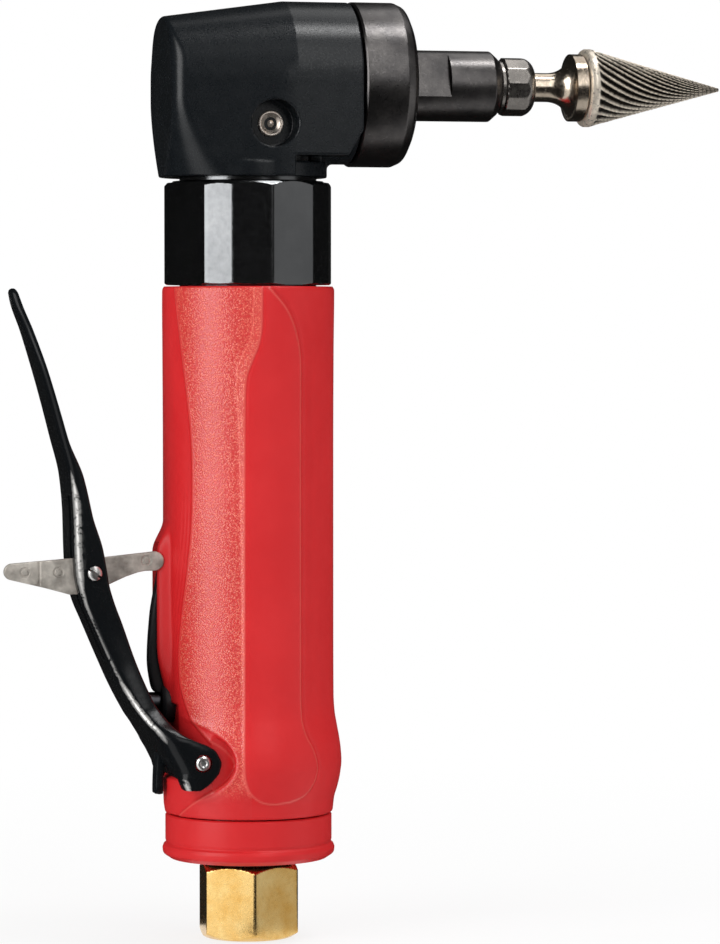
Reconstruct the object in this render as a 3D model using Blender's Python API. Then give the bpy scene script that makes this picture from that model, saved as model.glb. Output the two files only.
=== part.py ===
"""Right-angle air die grinder, built piece by piece.

The tool stands upright on its air inlet: the handle runs along +Z, the spindle
points along +X and the throttle lever hangs on the -X side. Every piece is its
own closed solid. Lengths are in metres.
"""
import math

import bmesh
import bpy
from mathutils import Matrix

# Clearances between neighbours.
GAP = 0.0003
FINE_GAP = 0.00015

# Number of flat sides around round pieces, by how large they are.
LARGE_STEPS = 36
MEDIUM_STEPS = 24
SMALL_STEPS = 16
TINY_STEPS = 12

# Air inlet.
HEX_ACROSS_FLATS = 0.0190
HEX_HEIGHT = 0.0152
HEX_CHAMFER = 0.0012
HEX_TURN = math.radians(25.6)
PORT_RADIUS = 0.0057
PORT_DEPTH = 0.0120
AIRWAY_RADIUS = 0.0032
NECK_RADIUS = 0.0085
NECK_LENGTH = 0.0185
SCREEN_HEIGHT = 0.0030
SCREEN_WALL = 0.0005
O_RING_THICKNESS = 0.0010

# Exhaust cap under the grip.
CAP_CLEARANCE = 0.0012
CAP_HEIGHT = 0.0091
CAP_RIM_RADIUS = 0.0177
CAP_BAND_RADIUS = 0.0172
CAP_WALL = 0.0020
CAP_FLOOR = 0.0022
CAP_GROOVE = 0.0006
EXHAUST_HOLE_RADIUS = 0.0013
EXHAUST_HOLES = 6

# Grip sleeve.
GRIP_TOP_RADIUS = 0.0177
GRIP_WAIST_RADIUS = 0.0175
GRIP_BULGE_RADIUS = 0.0193
GRIP_BULGE_RISE = 0.0112
GRIP_FOOT_RADIUS = 0.0174

# Valve housing, the block at the back end of the motor.
HOUSING_RADIUS = 0.0137
HOUSING_DROP = 0.0018
HOUSING_HEIGHT = 0.0376
GROOVE_WIDTH = 0.0050
GROOVE_DEPTH = 0.0013

# Throttle lever and its pin.
PIVOT_X = -0.0128
PIVOT_RISE = 0.01165
PIVOT_PIN_RADIUS = 0.0015
LEVER_SHEET = 0.0012
EAR_HALF_WIDTH = 0.0162
LEVER_BACK_HALF = 0.0120
LEVER_BACK_FOOT = -0.0019
LEVER_HALF_WIDTH = 0.0077

# Lever cross-sections: height above the pivot, back of the channel, half-width of
# the back, half-width over the flanges, depth of the flanges.
LEVER_STATIONS = [
    (-0.0055, -0.0036, 0.0149, EAR_HALF_WIDTH, 0.0026),
    (-0.0033, -0.0045, 0.0140, EAR_HALF_WIDTH, 0.0060),
    (-0.0017, -0.0053, LEVER_BACK_HALF, EAR_HALF_WIDTH, 0.0084),
    (0.0005, -0.0064, LEVER_BACK_HALF, EAR_HALF_WIDTH, 0.0100),
    (0.0034, -0.0080, LEVER_BACK_HALF, EAR_HALF_WIDTH, 0.0098),
    (0.0044, -0.0086, LEVER_BACK_HALF, EAR_HALF_WIDTH, 0.0086),
    (0.0061, -0.0097, 0.0117, 0.0152, 0.0057),
    (0.0082, -0.0112, 0.0113, 0.0130, 0.0048),
    (0.0112, -0.0132, 0.0097, 0.0105, 0.0048),
    (0.0147, -0.0152, 0.0083, 0.0090, 0.0052),
    (0.0202, -0.0178, 0.0076, 0.0081, 0.0056),
    (0.0280, -0.0212, 0.0075, LEVER_HALF_WIDTH, 0.0063),
    (0.0323, -0.0230, 0.0075, LEVER_HALF_WIDTH, 0.0065),
    (0.0370, -0.0242, 0.0075, LEVER_HALF_WIDTH, 0.0065),
    (0.0423, -0.0246, 0.0075, LEVER_HALF_WIDTH, 0.0060),
    (0.0500, -0.0248, 0.0075, LEVER_HALF_WIDTH, 0.0039),
    (0.0575, -0.0255, 0.0074, 0.0075, 0.0029),
    (0.0655, -0.0275, 0.0071, 0.0072, 0.0017),
    (0.0780, -0.0308, 0.0065, 0.0066, 0.0014),
    (0.0872, -0.0337, 0.0045, 0.0046, 0.0014),
    (0.0934, -0.0357, 0.0028, 0.0029, 0.0014),
    (0.0957, -0.0361, 0.0016, 0.0017, 0.0013),
]

# Outline of the pocket around each ear, from the pivot.
EAR_POCKET = [
    (-0.0130, 0.0113),
    (-0.0032, 0.0086),
    (0.0008, 0.0069),
    (0.0047, 0.0048),
    (0.0064, 0.0013),
    (0.0062, -0.0022),
    (0.0039, -0.0052),
    (0.0003, -0.0074),
    (-0.0130, -0.0088),
]
RELIEF_INSET = 0.0013
RELIEF_BELOW = 0.0029
RELIEF_ABOVE = 0.0111
RELIEF_WALL = 0.0023

# Lock-off lever.
LOCK_X = -0.0334
LOCK_RISE = 0.0498
LOCK_SHEET = 0.0015
LOCK_OFFSET = 0.0024
LOCK_PIN_RADIUS = 0.00085
LOCK_PIN_HEAD = 0.0015
LOCK_WING_REACH = 0.0178
LOCK_ARM_REACH = 0.0151
LOCK_WING_END = 0.0017
LOCK_ARM_END = 0.0020
LOCK_HUB_RADIUS = 0.0034
LOCK_WING_TOP = [(-0.0046, 0.00285), (0.0034, 0.0031)]
LOCK_ARM_FOOT = [(0.0119, 0.0001), (0.0100, -0.0002), (0.0074, -0.0010), (0.0047, -0.0021)]
LOCK_WING_FOOT = [(-0.0044, -0.0045), (-0.0065, -0.0039), (-0.0094, -0.0031)]
LOCK_SLOT_GAP = 0.0004

# Throttle valve.
VALVE_RISE = 0.0228
STEM_RADIUS = 0.0021
STEM_TIP_X = -0.0238
CHAMBER_RADIUS = 0.0044
CHAMBER_END_X = 0.0102
SEAT_X = -0.0055
VALVE_SEAL_RADIUS = 0.0036
VALVE_SEAL_WIDTH = 0.0020
WIRE_RADIUS = 0.00035
SPRING_TURNS = 4

# Guide rib on the back of the grip.
RIB_HALF_WIDTH = 0.0016
RIB_START_RISE = 0.0250
RIB_LENGTH = 0.0302
RIB_HEIGHT = 0.0042
RIB_SINK = 0.0006
RIB_FLOOR_X = RIB_SINK - GRIP_WAIST_RADIUS

# Air motor.
TUBE_RADIUS = 0.0152
TUBE_BORE = 0.0126
TUBE_NECK_RADIUS = 0.0140
TUBE_NECK_LENGTH = 0.0085
LINER_BORE = 0.0102
LINER_OFFSET = 0.0007
LINER_LENGTH = 0.0400
REAR_PLATE_HEIGHT = 0.0100
FRONT_PLATE_HEIGHT = 0.0109
PLATE_WEB = 0.0032
CLAMP_RING_HEIGHT = 0.0040
CLAMP_RING_BORE = 0.0090
TUBE_FRONT_SPACE = 0.0049
ROTOR_RADIUS = 0.0091
ROTOR_REAR_SHAFT = 0.0030
ROTOR_FRONT_SHAFT = 0.0040
VANES = 5
VANE_THICKNESS = 0.0014
VANE_DEPTH = 0.0042
PLATE_PIN_RADIUS = 0.0006
PLATE_PIN_LENGTH = 0.0044
DRIVE_CUP_RADIUS = 0.0056
DRIVE_CUP_LENGTH = 0.0100
DRIVE_CUP_DROP = 0.0062
DRIVE_CUP_FLOOR = 0.0025
DRIVE_HEX_APOTHEM = 0.0026

# Wrench-flat collar between the grip and the head.
COLLAR_HEIGHT = 0.0208
COLLAR_PROUD = 0.0005
SPIGOT_RADIUS = 0.0140
SPIGOT_LENGTH = 0.0055
COLLAR_SHELF = 0.0034
FACET_CORNERS = (-9.0, 16.0, 38.0, 71.3, 97.6, 118.5)
FACET_TURN = -14.0

# Angle head.
HEAD_JOINT = 0.0011
HEAD_RISE = 0.0193
HEAD_RADIUS = 0.0168
HEAD_BACK_X = -0.0181
HEAD_BACK_WALL = 0.0036
HEAD_BACK_FACE_RADIUS = 0.0125
HEAD_SIDE = 0.0165
PARTING_X = 0.0209
HEAD_NECK_RADIUS = 0.0168
HEAD_STEPS = 32
GEAR_CAVITY_RADIUS = 0.0104
PINION_WELL_RADIUS = 0.0090
FITTING_X = 0.0022
FITTING_DROP = 0.0087
FITTING_RECESS_RADIUS = 0.0049
FITTING_RECESS_FLOOR = 0.0113
FITTING_RADIUS = 0.0029
FITTING_STEM_RADIUS = 0.0018

# Output collar (bearing cap).
CAP_COLLAR_PROUD = 0.0001
CAP_COLLAR_LENGTH = 0.0113
CAP_COLLAR_CHAMFER = 0.0010
CAP_SPIGOT_RADIUS = 0.0130
CAP_SPIGOT_LENGTH = 0.0085
CAP_LIP = 0.0016
SEAL_RADIUS = 0.0097
SEAL_WIDTH = 0.0018
SEAL_LAND_RADIUS = 0.0061
SPACER_WALL = 0.0015

# Bevel gears, meeting at right angles.
PINION_TEETH = 12
GEAR_TEETH = 16
GEAR_MODULE = 0.00105
TOOTH_FACE_SHARE = 0.30
TOOTH_ADDENDUM = 0.80
TOOTH_DEDENDUM = 1.10
GEAR_HUB_RADIUS = 0.0063
GEAR_HUB_LENGTH = 0.0035

# Spindle, collet, nut and burr.
SPINDLE_REAR_RADIUS = 0.0030
SPINDLE_SHAFT_RADIUS = 0.0034
SPINDLE_FRONT_RADIUS = 0.0050
NOSE_RADIUS = 0.0073
NOSE_LENGTH = 0.0196
NOSE_CHAMFER = 0.0010
NOSE_FLAT_WIDTH = 0.0116
NOSE_FLAT_START = 0.0010
NOSE_FLAT_LENGTH = 0.0081
NOSE_FLAT_TILT = math.radians(12.0)
STUB_RADIUS = 0.00485
STUB_LENGTH = 0.0045
SHANK_RADIUS = 0.0030
COLLET_WALL = 0.00085
COLLET_OVERHANG = 0.0002
COLLET_LENGTH = 0.0130
NUT_RADIUS = 0.0061
NUT_SIDES = 12
NUT_LENGTH = 0.0075
NUT_CONE_LENGTH = 0.0024
BURR_OVERHANG = 0.0108
BURR_NECK_RADIUS = 0.0070
BURR_NECK_LENGTH = 0.0025
BURR_RADIUS = 0.0081
BURR_RIM_LENGTH = 0.0015
BURR_LENGTH = 0.0300
BURR_TIP_RADIUS = 0.0004

# Ball bearings: bore radius, outer radius, width.
ROTOR_REAR_BEARING = (ROTOR_REAR_SHAFT + GAP, 0.0095, 0.0060)
ROTOR_FRONT_BEARING = (ROTOR_FRONT_SHAFT + GAP, 0.0110, 0.0070)
PINION_BEARING = (ROTOR_FRONT_SHAFT + GAP, 0.0110, 0.0070)
SPINDLE_REAR_BEARING = (SPINDLE_REAR_RADIUS + GAP, 0.0080, 0.0050)
SPINDLE_FRONT_BEARING = (SPINDLE_FRONT_RADIUS + GAP, 0.0110, 0.0070)
BALLS = 7
RACE_SHARE = 0.22

# Heights along the handle, from the inlet up.
CAP_Z = HEX_HEIGHT + CAP_CLEARANCE
GRIP_Z = CAP_Z + CAP_HEIGHT + GAP
HOUSING_Z = GRIP_Z - HOUSING_DROP
HOUSING_TOP_Z = HOUSING_Z + HOUSING_HEIGHT
PIVOT_Z = GRIP_Z + PIVOT_RISE
LOCK_Z = GRIP_Z + LOCK_RISE
VALVE_Z = GRIP_Z + VALVE_RISE
RIB_Z = GRIP_Z + RIB_START_RISE
TUBE_Z = HOUSING_TOP_Z + 2 * GAP
REAR_PLATE_Z = TUBE_Z + GAP
LINER_Z = REAR_PLATE_Z + REAR_PLATE_HEIGHT + GAP
LINER_TOP_Z = LINER_Z + LINER_LENGTH
FRONT_PLATE_Z = LINER_TOP_Z + GAP
CLAMP_RING_Z = FRONT_PLATE_Z + FRONT_PLATE_HEIGHT + GAP
TUBE_SHOULDER_Z = CLAMP_RING_Z + CLAMP_RING_HEIGHT + TUBE_FRONT_SPACE
GRIP_TOP_Z = TUBE_SHOULDER_Z + GAP
GRIP_LENGTH = GRIP_TOP_Z - GRIP_Z
TUBE_TOP_Z = TUBE_SHOULDER_Z + TUBE_NECK_LENGTH
COLLAR_Z = GRIP_TOP_Z + GAP
COLLAR_TOP_Z = COLLAR_Z + COLLAR_HEIGHT
COLLAR_SHELF_Z = TUBE_TOP_Z + GAP
DRIVE_CUP_TOP_Z = COLLAR_SHELF_Z - DRIVE_CUP_DROP
DRIVE_CUP_Z = DRIVE_CUP_TOP_Z - DRIVE_CUP_LENGTH
PINION_POCKET_Z = COLLAR_SHELF_Z + COLLAR_SHELF
HEAD_Z = COLLAR_TOP_Z + HEAD_JOINT
SPINDLE_Z = HEAD_Z + HEAD_RISE
SPIGOT_TOP_Z = COLLAR_TOP_Z + SPIGOT_LENGTH

# Widths that follow the head's.
COLLAR_RADIUS = HEAD_RADIUS + COLLAR_PROUD
CAP_COLLAR_RADIUS = HEAD_RADIUS + CAP_COLLAR_PROUD

# Positions along the spindle, from the gear apex on the handle axis outwards.
PINION_PITCH_RADIUS = GEAR_MODULE * PINION_TEETH / 2
GEAR_PITCH_RADIUS = GEAR_MODULE * GEAR_TEETH / 2
GEAR_X = PINION_PITCH_RADIUS
GEAR_HUB_X = GEAR_X + GEAR_HUB_LENGTH
CAP_COLLAR_X = PARTING_X + GAP
FACE_X = CAP_COLLAR_X + CAP_COLLAR_LENGTH
NOSE_X = FACE_X + GAP
NOSE_END_X = NOSE_X + NOSE_LENGTH
NUT_X = NOSE_END_X + GAP
NUT_END_X = NUT_X + NUT_LENGTH
BURR_NECK_END_X = NUT_END_X + BURR_OVERHANG
BURR_X = BURR_NECK_END_X + GAP
TIP_X = BURR_X + BURR_LENGTH
SEAL_END_X = FACE_X - CAP_LIP
FRONT_BEARING_END_X = SEAL_END_X - SEAL_WIDTH - 2 * GAP
REAR_BEARING_X = HEAD_BACK_X + HEAD_BACK_WALL
COLLET_RADIUS = SHANK_RADIUS + FINE_GAP + COLLET_WALL
COLLET_X = NOSE_END_X + STUB_LENGTH + COLLET_OVERHANG - COLLET_LENGTH

# The part's own origin is under the middle of its box.
WING_TIP_X = LOCK_X - LOCK_WING_REACH
FRAME_X = -(WING_TIP_X + TIP_X) / 2


def clear_scene():
    """Remove every object that the file opened with."""
    for item in list(bpy.data.objects):
        bpy.data.objects.remove(item, do_unlink=True)


def make_material(name, colour, roughness, metallic):
    """A plain Principled material."""
    material = bpy.data.materials.new(name)
    material.use_nodes = True
    shader = material.node_tree.nodes["Principled BSDF"]
    shader.inputs["Base Color"].default_value = (*colour, 1.0)
    shader.inputs["Roughness"].default_value = roughness
    shader.inputs["Metallic"].default_value = metallic
    material.diffuse_color = (*colour, 1.0)
    return material


def make_materials():
    """Every finish the tool uses, by name."""
    return {
        "red_plastic": make_material("red_plastic", (0.62, 0.035, 0.04), 0.45, 0.0),
        "black_paint": make_material("black_paint", (0.012, 0.014, 0.016), 0.32, 0.0),
        "black_plastic": make_material("black_plastic", (0.015, 0.016, 0.018), 0.5, 0.0),
        "dark_steel": make_material("dark_steel", (0.13, 0.13, 0.14), 0.32, 1.0),
        "steel": make_material("steel", (0.56, 0.55, 0.53), 0.3, 1.0),
        "bright_steel": make_material("bright_steel", (0.78, 0.77, 0.74), 0.15, 1.0),
        "brass": make_material("brass", (0.80, 0.57, 0.22), 0.25, 1.0),
        "alloy": make_material("alloy", (0.62, 0.63, 0.64), 0.4, 1.0),
        "carbide": make_material("carbide", (0.42, 0.39, 0.34), 0.3, 1.0),
        "rubber": make_material("rubber", (0.02, 0.02, 0.02), 0.7, 0.0),
        "felt": make_material("felt", (0.55, 0.53, 0.48), 0.95, 0.0),
        "vane_resin": make_material("vane_resin", (0.30, 0.17, 0.08), 0.6, 0.0),
    }


def make_empty(name, parent, location):
    """An empty that carries the pieces of one moving body."""
    empty = bpy.data.objects.new(name, None)
    bpy.context.scene.collection.objects.link(empty)
    empty.parent = parent
    empty.location = location
    return empty


def finish_object(name, mesh, material, parent, sharp_angle=35.0):
    """Clean a bmesh, turn its faces outwards and make it a named object."""
    bmesh.ops.remove_doubles(mesh, verts=mesh.verts, dist=1e-7)
    bmesh.ops.recalc_face_normals(mesh, faces=mesh.faces)
    data = bpy.data.meshes.new(name)
    mesh.to_mesh(data)
    mesh.free()
    data.shade_smooth()
    data.set_sharp_from_angle(angle=math.radians(sharp_angle))
    item = bpy.data.objects.new(name, data)
    bpy.context.scene.collection.objects.link(item)
    item.parent = parent
    if material is None:
        item.hide_render = True
        item.display_type = "WIRE"
    else:
        data.materials.append(material)
    return item


def along(axis):
    """The rotation that lays the Z axis along the named axis."""
    if axis == "X":
        return Matrix.Rotation(math.radians(90.0), 4, "Y")
    if axis == "Y":
        return Matrix.Rotation(math.radians(-90.0), 4, "X")
    return Matrix.Identity(4)


def turned(name, profile, material, parent, steps, axis="Z", centre=(0.0, 0.0, 0.0)):
    """Spin an outline of (radius, distance along the axis) into a solid.

    An outline that starts and ends on the axis gives a full solid, and any
    other is closed into a ring.
    """
    mesh = bmesh.new()
    corners = [mesh.verts.new((radius, 0.0, height)) for radius, height in profile]
    edges = [mesh.edges.new(pair) for pair in zip(corners, corners[1:])]
    if profile[0][0] > 0.0:
        edges.append(mesh.edges.new((corners[-1], corners[0])))
    bmesh.ops.spin(
        mesh,
        geom=corners + edges,
        cent=(0.0, 0.0, 0.0),
        axis=(0.0, 0.0, 1.0),
        angle=2 * math.pi,
        steps=steps,
        use_merge=True,
    )
    bmesh.ops.transform(mesh, matrix=Matrix.Translation(centre) @ along(axis), verts=mesh.verts)
    return finish_object(name, mesh, material, parent)


def rod(name, radius, start, end, material, parent, steps, axis="Z", centre=(0.0, 0.0, 0.0)):
    """A plain round bar between two distances along an axis."""
    profile = [(0.0, start), (radius, start), (radius, end), (0.0, end)]
    return turned(name, profile, material, parent, steps, axis, centre)


def ring(name, inner, outer, start, end, material, parent, steps, axis="Z", centre=(0.0, 0.0, 0.0)):
    """A plain round tube between two distances along an axis."""
    profile = [(inner, start), (outer, start), (outer, end), (inner, end)]
    return turned(name, profile, material, parent, steps, axis, centre)


def lofted(name, loops, material, parent, closed=False, transform=None):
    """Join equal rings of points into a solid, capped at its ends or closed on itself."""
    mesh = bmesh.new()
    rows = [[mesh.verts.new(point) for point in loop] for loop in loops]
    pairs = list(zip(rows, rows[1:]))
    if closed:
        pairs.append((rows[-1], rows[0]))
    else:
        mesh.faces.new(rows[0])
        mesh.faces.new(rows[-1])
    for first, second in pairs:
        for index in range(len(first)):
            after = (index + 1) % len(first)
            mesh.faces.new((first[index], first[after], second[after], second[index]))
    if transform is not None:
        bmesh.ops.transform(mesh, matrix=transform, verts=mesh.verts)
    return finish_object(name, mesh, material, parent)


def plate(name, outline, low_y, high_y, material, parent):
    """A flat plate with its outline in XZ, between two values of Y."""
    loops = [[(x, y, z) for x, z in outline] for y in (low_y, high_y)]
    return lofted(name, loops, material, parent)


def boxes(name, bounds, parent, material=None, turns=(0.0,), axis="Z"):
    """One mesh of boxes, each given by its low and high corner, copied at each turn about an axis."""
    mesh = bmesh.new()
    for turn in turns:
        for low, high in bounds:
            made = bmesh.ops.create_cube(mesh, size=1.0)["verts"]
            size = [high[i] - low[i] for i in range(3)]
            middle = [(high[i] + low[i]) / 2 for i in range(3)]
            shape = Matrix.Translation(middle) @ Matrix.Diagonal((*size, 1.0))
            bmesh.ops.transform(mesh, matrix=Matrix.Rotation(turn, 4, axis) @ shape, verts=made)
    return finish_object(name, mesh, material, parent)


def change(item, tool, operation):
    """Cut one object with another, or join the other to it."""
    modifier = item.modifiers.new(operation.lower() + "_" + tool.name, "BOOLEAN")
    modifier.operation = operation
    modifier.solver = "EXACT"
    modifier.object = tool


def circle(radius, height, count, turn=0.0, centre=(0.0, 0.0)):
    """Points around a circle at one height."""
    points = []
    for index in range(count):
        angle = turn + 2 * math.pi * index / count
        x = centre[0] + radius * math.cos(angle)
        y = centre[1] + radius * math.sin(angle)
        points.append((x, y, height))
    return points


def polygon(apothem, sides, height, count, turn=0.0):
    """Points around a regular polygon, with the same count as a circle it joins."""
    points = []
    for index in range(count):
        angle = 2 * math.pi * index / count
        from_middle = (angle % (2 * math.pi / sides)) - math.pi / sides
        radius = apothem / math.cos(from_middle)
        points.append((radius * math.cos(angle + turn), radius * math.sin(angle + turn), height))
    return points


def arc(centre_x, centre_z, radius, start, end, count):
    """Points along an arc in XZ, with angles in degrees."""
    points = []
    for index in range(count):
        angle = math.radians(start + (end - start) * index / (count - 1))
        points.append((centre_x + radius * math.cos(angle), centre_z + radius * math.sin(angle)))
    return points


def coil(name, radius, start, end, turns, material, parent, axis, centre):
    """A round-wire spring as a curve with a round bevel and filled ends."""
    points_per_turn = 8
    count = int(turns * points_per_turn) + 1
    curve = bpy.data.curves.new(name, "CURVE")
    curve.dimensions = "3D"
    curve.bevel_depth = WIRE_RADIUS
    curve.bevel_resolution = 1
    curve.use_fill_caps = True
    spline = curve.splines.new("POLY")
    spline.points.add(count - 1)
    place = Matrix.Translation(centre) @ along(axis)
    for index in range(count):
        angle = 2 * math.pi * index / points_per_turn
        height = start + (end - start) * index / (count - 1)
        point = place @ Matrix.Translation((radius * math.cos(angle), radius * math.sin(angle), height))
        spline.points[index].co = (*point.to_translation(), 1.0)
    curve.materials.append(material)
    item = bpy.data.objects.new(name, curve)
    bpy.context.scene.collection.objects.link(item)
    item.parent = parent
    return item


def ball_bearing(prefix, sizes, middle, axis, centre, parents, finish):
    """An outer race on the root, an inner race on the shaft and a caged ball set between them."""
    bore, outside, width = sizes
    race = RACE_SHARE * (outside - bore)
    low = middle - width / 2
    high = middle + width / 2
    root, shaft, cage = parents
    outer_name = prefix + "_outer_race"
    ring(outer_name, outside - race, outside, low, high, finish, root, MEDIUM_STEPS, axis, centre)
    ring(prefix + "_inner_race", bore, bore + race, low, high, finish, shaft, SMALL_STEPS, axis)
    pitch = (outside + bore) / 2
    ball = (outside - bore) / 2 - race - GAP
    swells = (0.45, 0.86, 1.0, 0.86)
    steps = len(swells) * BALLS
    loops = []
    for index in range(steps):
        angle = 2 * math.pi * index / steps
        bead = swells[index % len(swells)] * ball
        loop = []
        for radius, height in arc(pitch, middle, bead, 0.0, 300.0, 6):
            loop.append((radius * math.cos(angle), radius * math.sin(angle), height))
        loops.append(loop)
    lofted(prefix + "_balls", loops, finish, cage, closed=True, transform=along(axis))


def seat_profile(low, high, outside, pocket, hole, web, web_first):
    """Outline of an end plate: a web with a shaft hole, and a bearing pocket behind it."""
    if web_first:
        inner = [(pocket, high), (pocket, low + web), (hole, low + web)]
        return [(hole, low), (outside, low), (outside, high)] + inner
    inner = [(hole, high), (hole, high - web), (pocket, high - web)]
    return [(pocket, low), (outside, low), (outside, high)] + inner


def add_inlet(root, finish):
    """The brass inlet bushing with its screen and seal."""
    apothem = HEX_ACROSS_FLATS / 2
    small = apothem - HEX_CHAMFER
    neck_top = HEX_HEIGHT + NECK_LENGTH
    pocket = NECK_RADIUS - 3 * SCREEN_WALL
    screen_low = neck_top - SCREEN_HEIGHT - 2 * GAP
    count = MEDIUM_STEPS
    loops = [
        circle(PORT_RADIUS, 0.0, count, HEX_TURN),
        polygon(small, 6, 0.0, count, HEX_TURN),
        polygon(apothem, 6, HEX_CHAMFER, count, HEX_TURN),
        polygon(apothem, 6, HEX_HEIGHT - HEX_CHAMFER, count, HEX_TURN),
        polygon(small, 6, HEX_HEIGHT, count, HEX_TURN),
        circle(NECK_RADIUS, HEX_HEIGHT, count, HEX_TURN),
        circle(NECK_RADIUS, neck_top, count, HEX_TURN),
        circle(pocket, neck_top, count, HEX_TURN),
        circle(pocket, screen_low, count, HEX_TURN),
        circle(AIRWAY_RADIUS, screen_low, count, HEX_TURN),
        circle(AIRWAY_RADIUS, PORT_DEPTH, count, HEX_TURN),
        circle(PORT_RADIUS, PORT_DEPTH, count, HEX_TURN),
    ]
    lofted("inlet_bushing", loops, finish["brass"], root, closed=True)
    outside = pocket - GAP
    floor = screen_low + GAP
    top = floor + SCREEN_HEIGHT
    cup = [
        (0.0, floor),
        (outside, floor),
        (outside, top),
        (outside - SCREEN_WALL, top),
        (outside - SCREEN_WALL, floor + SCREEN_WALL),
        (0.0, floor + SCREEN_WALL),
    ]
    turned("inlet_screen", cup, finish["bright_steel"], root, SMALL_STEPS)
    section = arc(
        NECK_RADIUS + GAP + O_RING_THICKNESS / 2,
        HEX_HEIGHT + CAP_CLEARANCE / 2,
        O_RING_THICKNESS / 2 - FINE_GAP / 3,
        0.0,
        300.0,
        6,
    )
    turned("inlet_o_ring", section, finish["rubber"], root, MEDIUM_STEPS)


def add_exhaust_cap(root, finish):
    """The ring under the grip that spreads the exhaust, and the felt inside it."""
    hole = NECK_RADIUS + GAP
    floor_top = CAP_Z + CAP_FLOOR
    wall_inside = CAP_BAND_RADIUS - CAP_WALL
    profile = [
        (hole, CAP_Z),
        (CAP_RIM_RADIUS - CAP_GROOVE, CAP_Z),
        (CAP_RIM_RADIUS, CAP_Z + CAP_GROOVE),
        (CAP_RIM_RADIUS, floor_top),
        (CAP_BAND_RADIUS - CAP_GROOVE, floor_top + CAP_GROOVE),
        (CAP_BAND_RADIUS, floor_top + 2 * CAP_GROOVE),
        (CAP_BAND_RADIUS, CAP_Z + CAP_HEIGHT - CAP_GROOVE),
        (CAP_BAND_RADIUS - CAP_GROOVE, CAP_Z + CAP_HEIGHT),
        (wall_inside, CAP_Z + CAP_HEIGHT),
        (wall_inside, floor_top),
        (hole, floor_top),
    ]
    cap = turned("exhaust_end_cap", profile, finish["red_plastic"], root, LARGE_STEPS)
    mesh = bmesh.new()
    pitch = (hole + wall_inside) / 2
    for x, y, z in circle(pitch, CAP_Z + CAP_FLOOR / 2, EXHAUST_HOLES):
        bmesh.ops.create_cone(
            mesh,
            cap_ends=True,
            segments=TINY_STEPS,
            radius1=EXHAUST_HOLE_RADIUS,
            radius2=EXHAUST_HOLE_RADIUS,
            depth=3 * CAP_FLOOR,
            matrix=Matrix.Translation((x, y, z)),
        )
    change(cap, finish_object("cut_exhaust_holes", mesh, None, root), "DIFFERENCE")
    low = floor_top + GAP
    high = HOUSING_Z - GAP
    ring("exhaust_silencer", hole + GAP, wall_inside - GAP, low, high, finish["felt"], root, MEDIUM_STEPS)


def add_valve_housing(root, finish):
    """The block behind the motor: inlet socket, valve chamber and exhaust grooves."""
    socket = NECK_RADIUS + GAP
    socket_top = HEX_HEIGHT + NECK_LENGTH + GAP
    airway_top = VALVE_Z - CHAMBER_RADIUS / 2
    profile = [
        (0.0, airway_top),
        (AIRWAY_RADIUS, airway_top),
        (AIRWAY_RADIUS, socket_top),
        (socket, socket_top),
        (socket, HOUSING_Z),
        (HOUSING_RADIUS, HOUSING_Z),
        (HOUSING_RADIUS, HOUSING_TOP_Z),
        (0.0, HOUSING_TOP_Z),
    ]
    housing = turned("valve_housing", profile, finish["alloy"], root, LARGE_STEPS)
    at_valve = (0.0, 0.0, VALVE_Z)
    outside = -2 * HOUSING_RADIUS
    chamber = rod(
        "cut_chamber", CHAMBER_RADIUS, outside, CHAMBER_END_X, None, root, SMALL_STEPS, "X", at_valve
    )
    change(housing, chamber, "DIFFERENCE")
    feed_x = 0.6 * CHAMBER_END_X
    feed_top = 2 * HOUSING_TOP_Z
    feed = rod(
        "cut_feed", STEM_RADIUS, VALVE_Z, feed_top, None, root, TINY_STEPS, "Z", (feed_x, 0.0, 0.0)
    )
    change(housing, feed, "DIFFERENCE")
    low = (HOUSING_RADIUS - GROOVE_DEPTH, -GROOVE_WIDTH / 2, HOUSING_Z - HOUSING_DROP)
    high = (2 * HOUSING_RADIUS, GROOVE_WIDTH / 2, HOUSING_TOP_Z + HOUSING_DROP)
    turns = [math.radians(turn) for turn in (-60.0, 0.0, 60.0)]
    change(housing, boxes("cut_exhaust_grooves", [(low, high)], root, turns=turns), "DIFFERENCE")
    return housing


def add_lever_pin(root, finish, housing, sleeve):
    """The pin that the throttle lever turns on, across the valve housing and the grip."""
    centre = (PIVOT_X, 0.0, PIVOT_Z)
    reach = 2 * GRIP_BULGE_RADIUS
    bore = rod(
        "cut_pivot", PIVOT_PIN_RADIUS + GAP, -reach, reach, None, root, TINY_STEPS, "Y", centre
    )
    change(housing, bore, "DIFFERENCE")
    change(sleeve, bore, "DIFFERENCE")
    half = EAR_HALF_WIDTH + GAP
    steel = finish["bright_steel"]
    rod("lever_pivot_pin", PIVOT_PIN_RADIUS, -half, half, steel, root, TINY_STEPS, "Y", centre)


def grip_radius(rise):
    """Outer radius of the grip at a height above its foot, without its bulge."""
    share = rise / GRIP_LENGTH
    waist = (GRIP_FOOT_RADIUS + GRIP_TOP_RADIUS) / 2 - GRIP_WAIST_RADIUS
    straight = GRIP_FOOT_RADIUS + (GRIP_TOP_RADIUS - GRIP_FOOT_RADIUS) * share
    return straight - waist * math.sin(math.pi * share)


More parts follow.
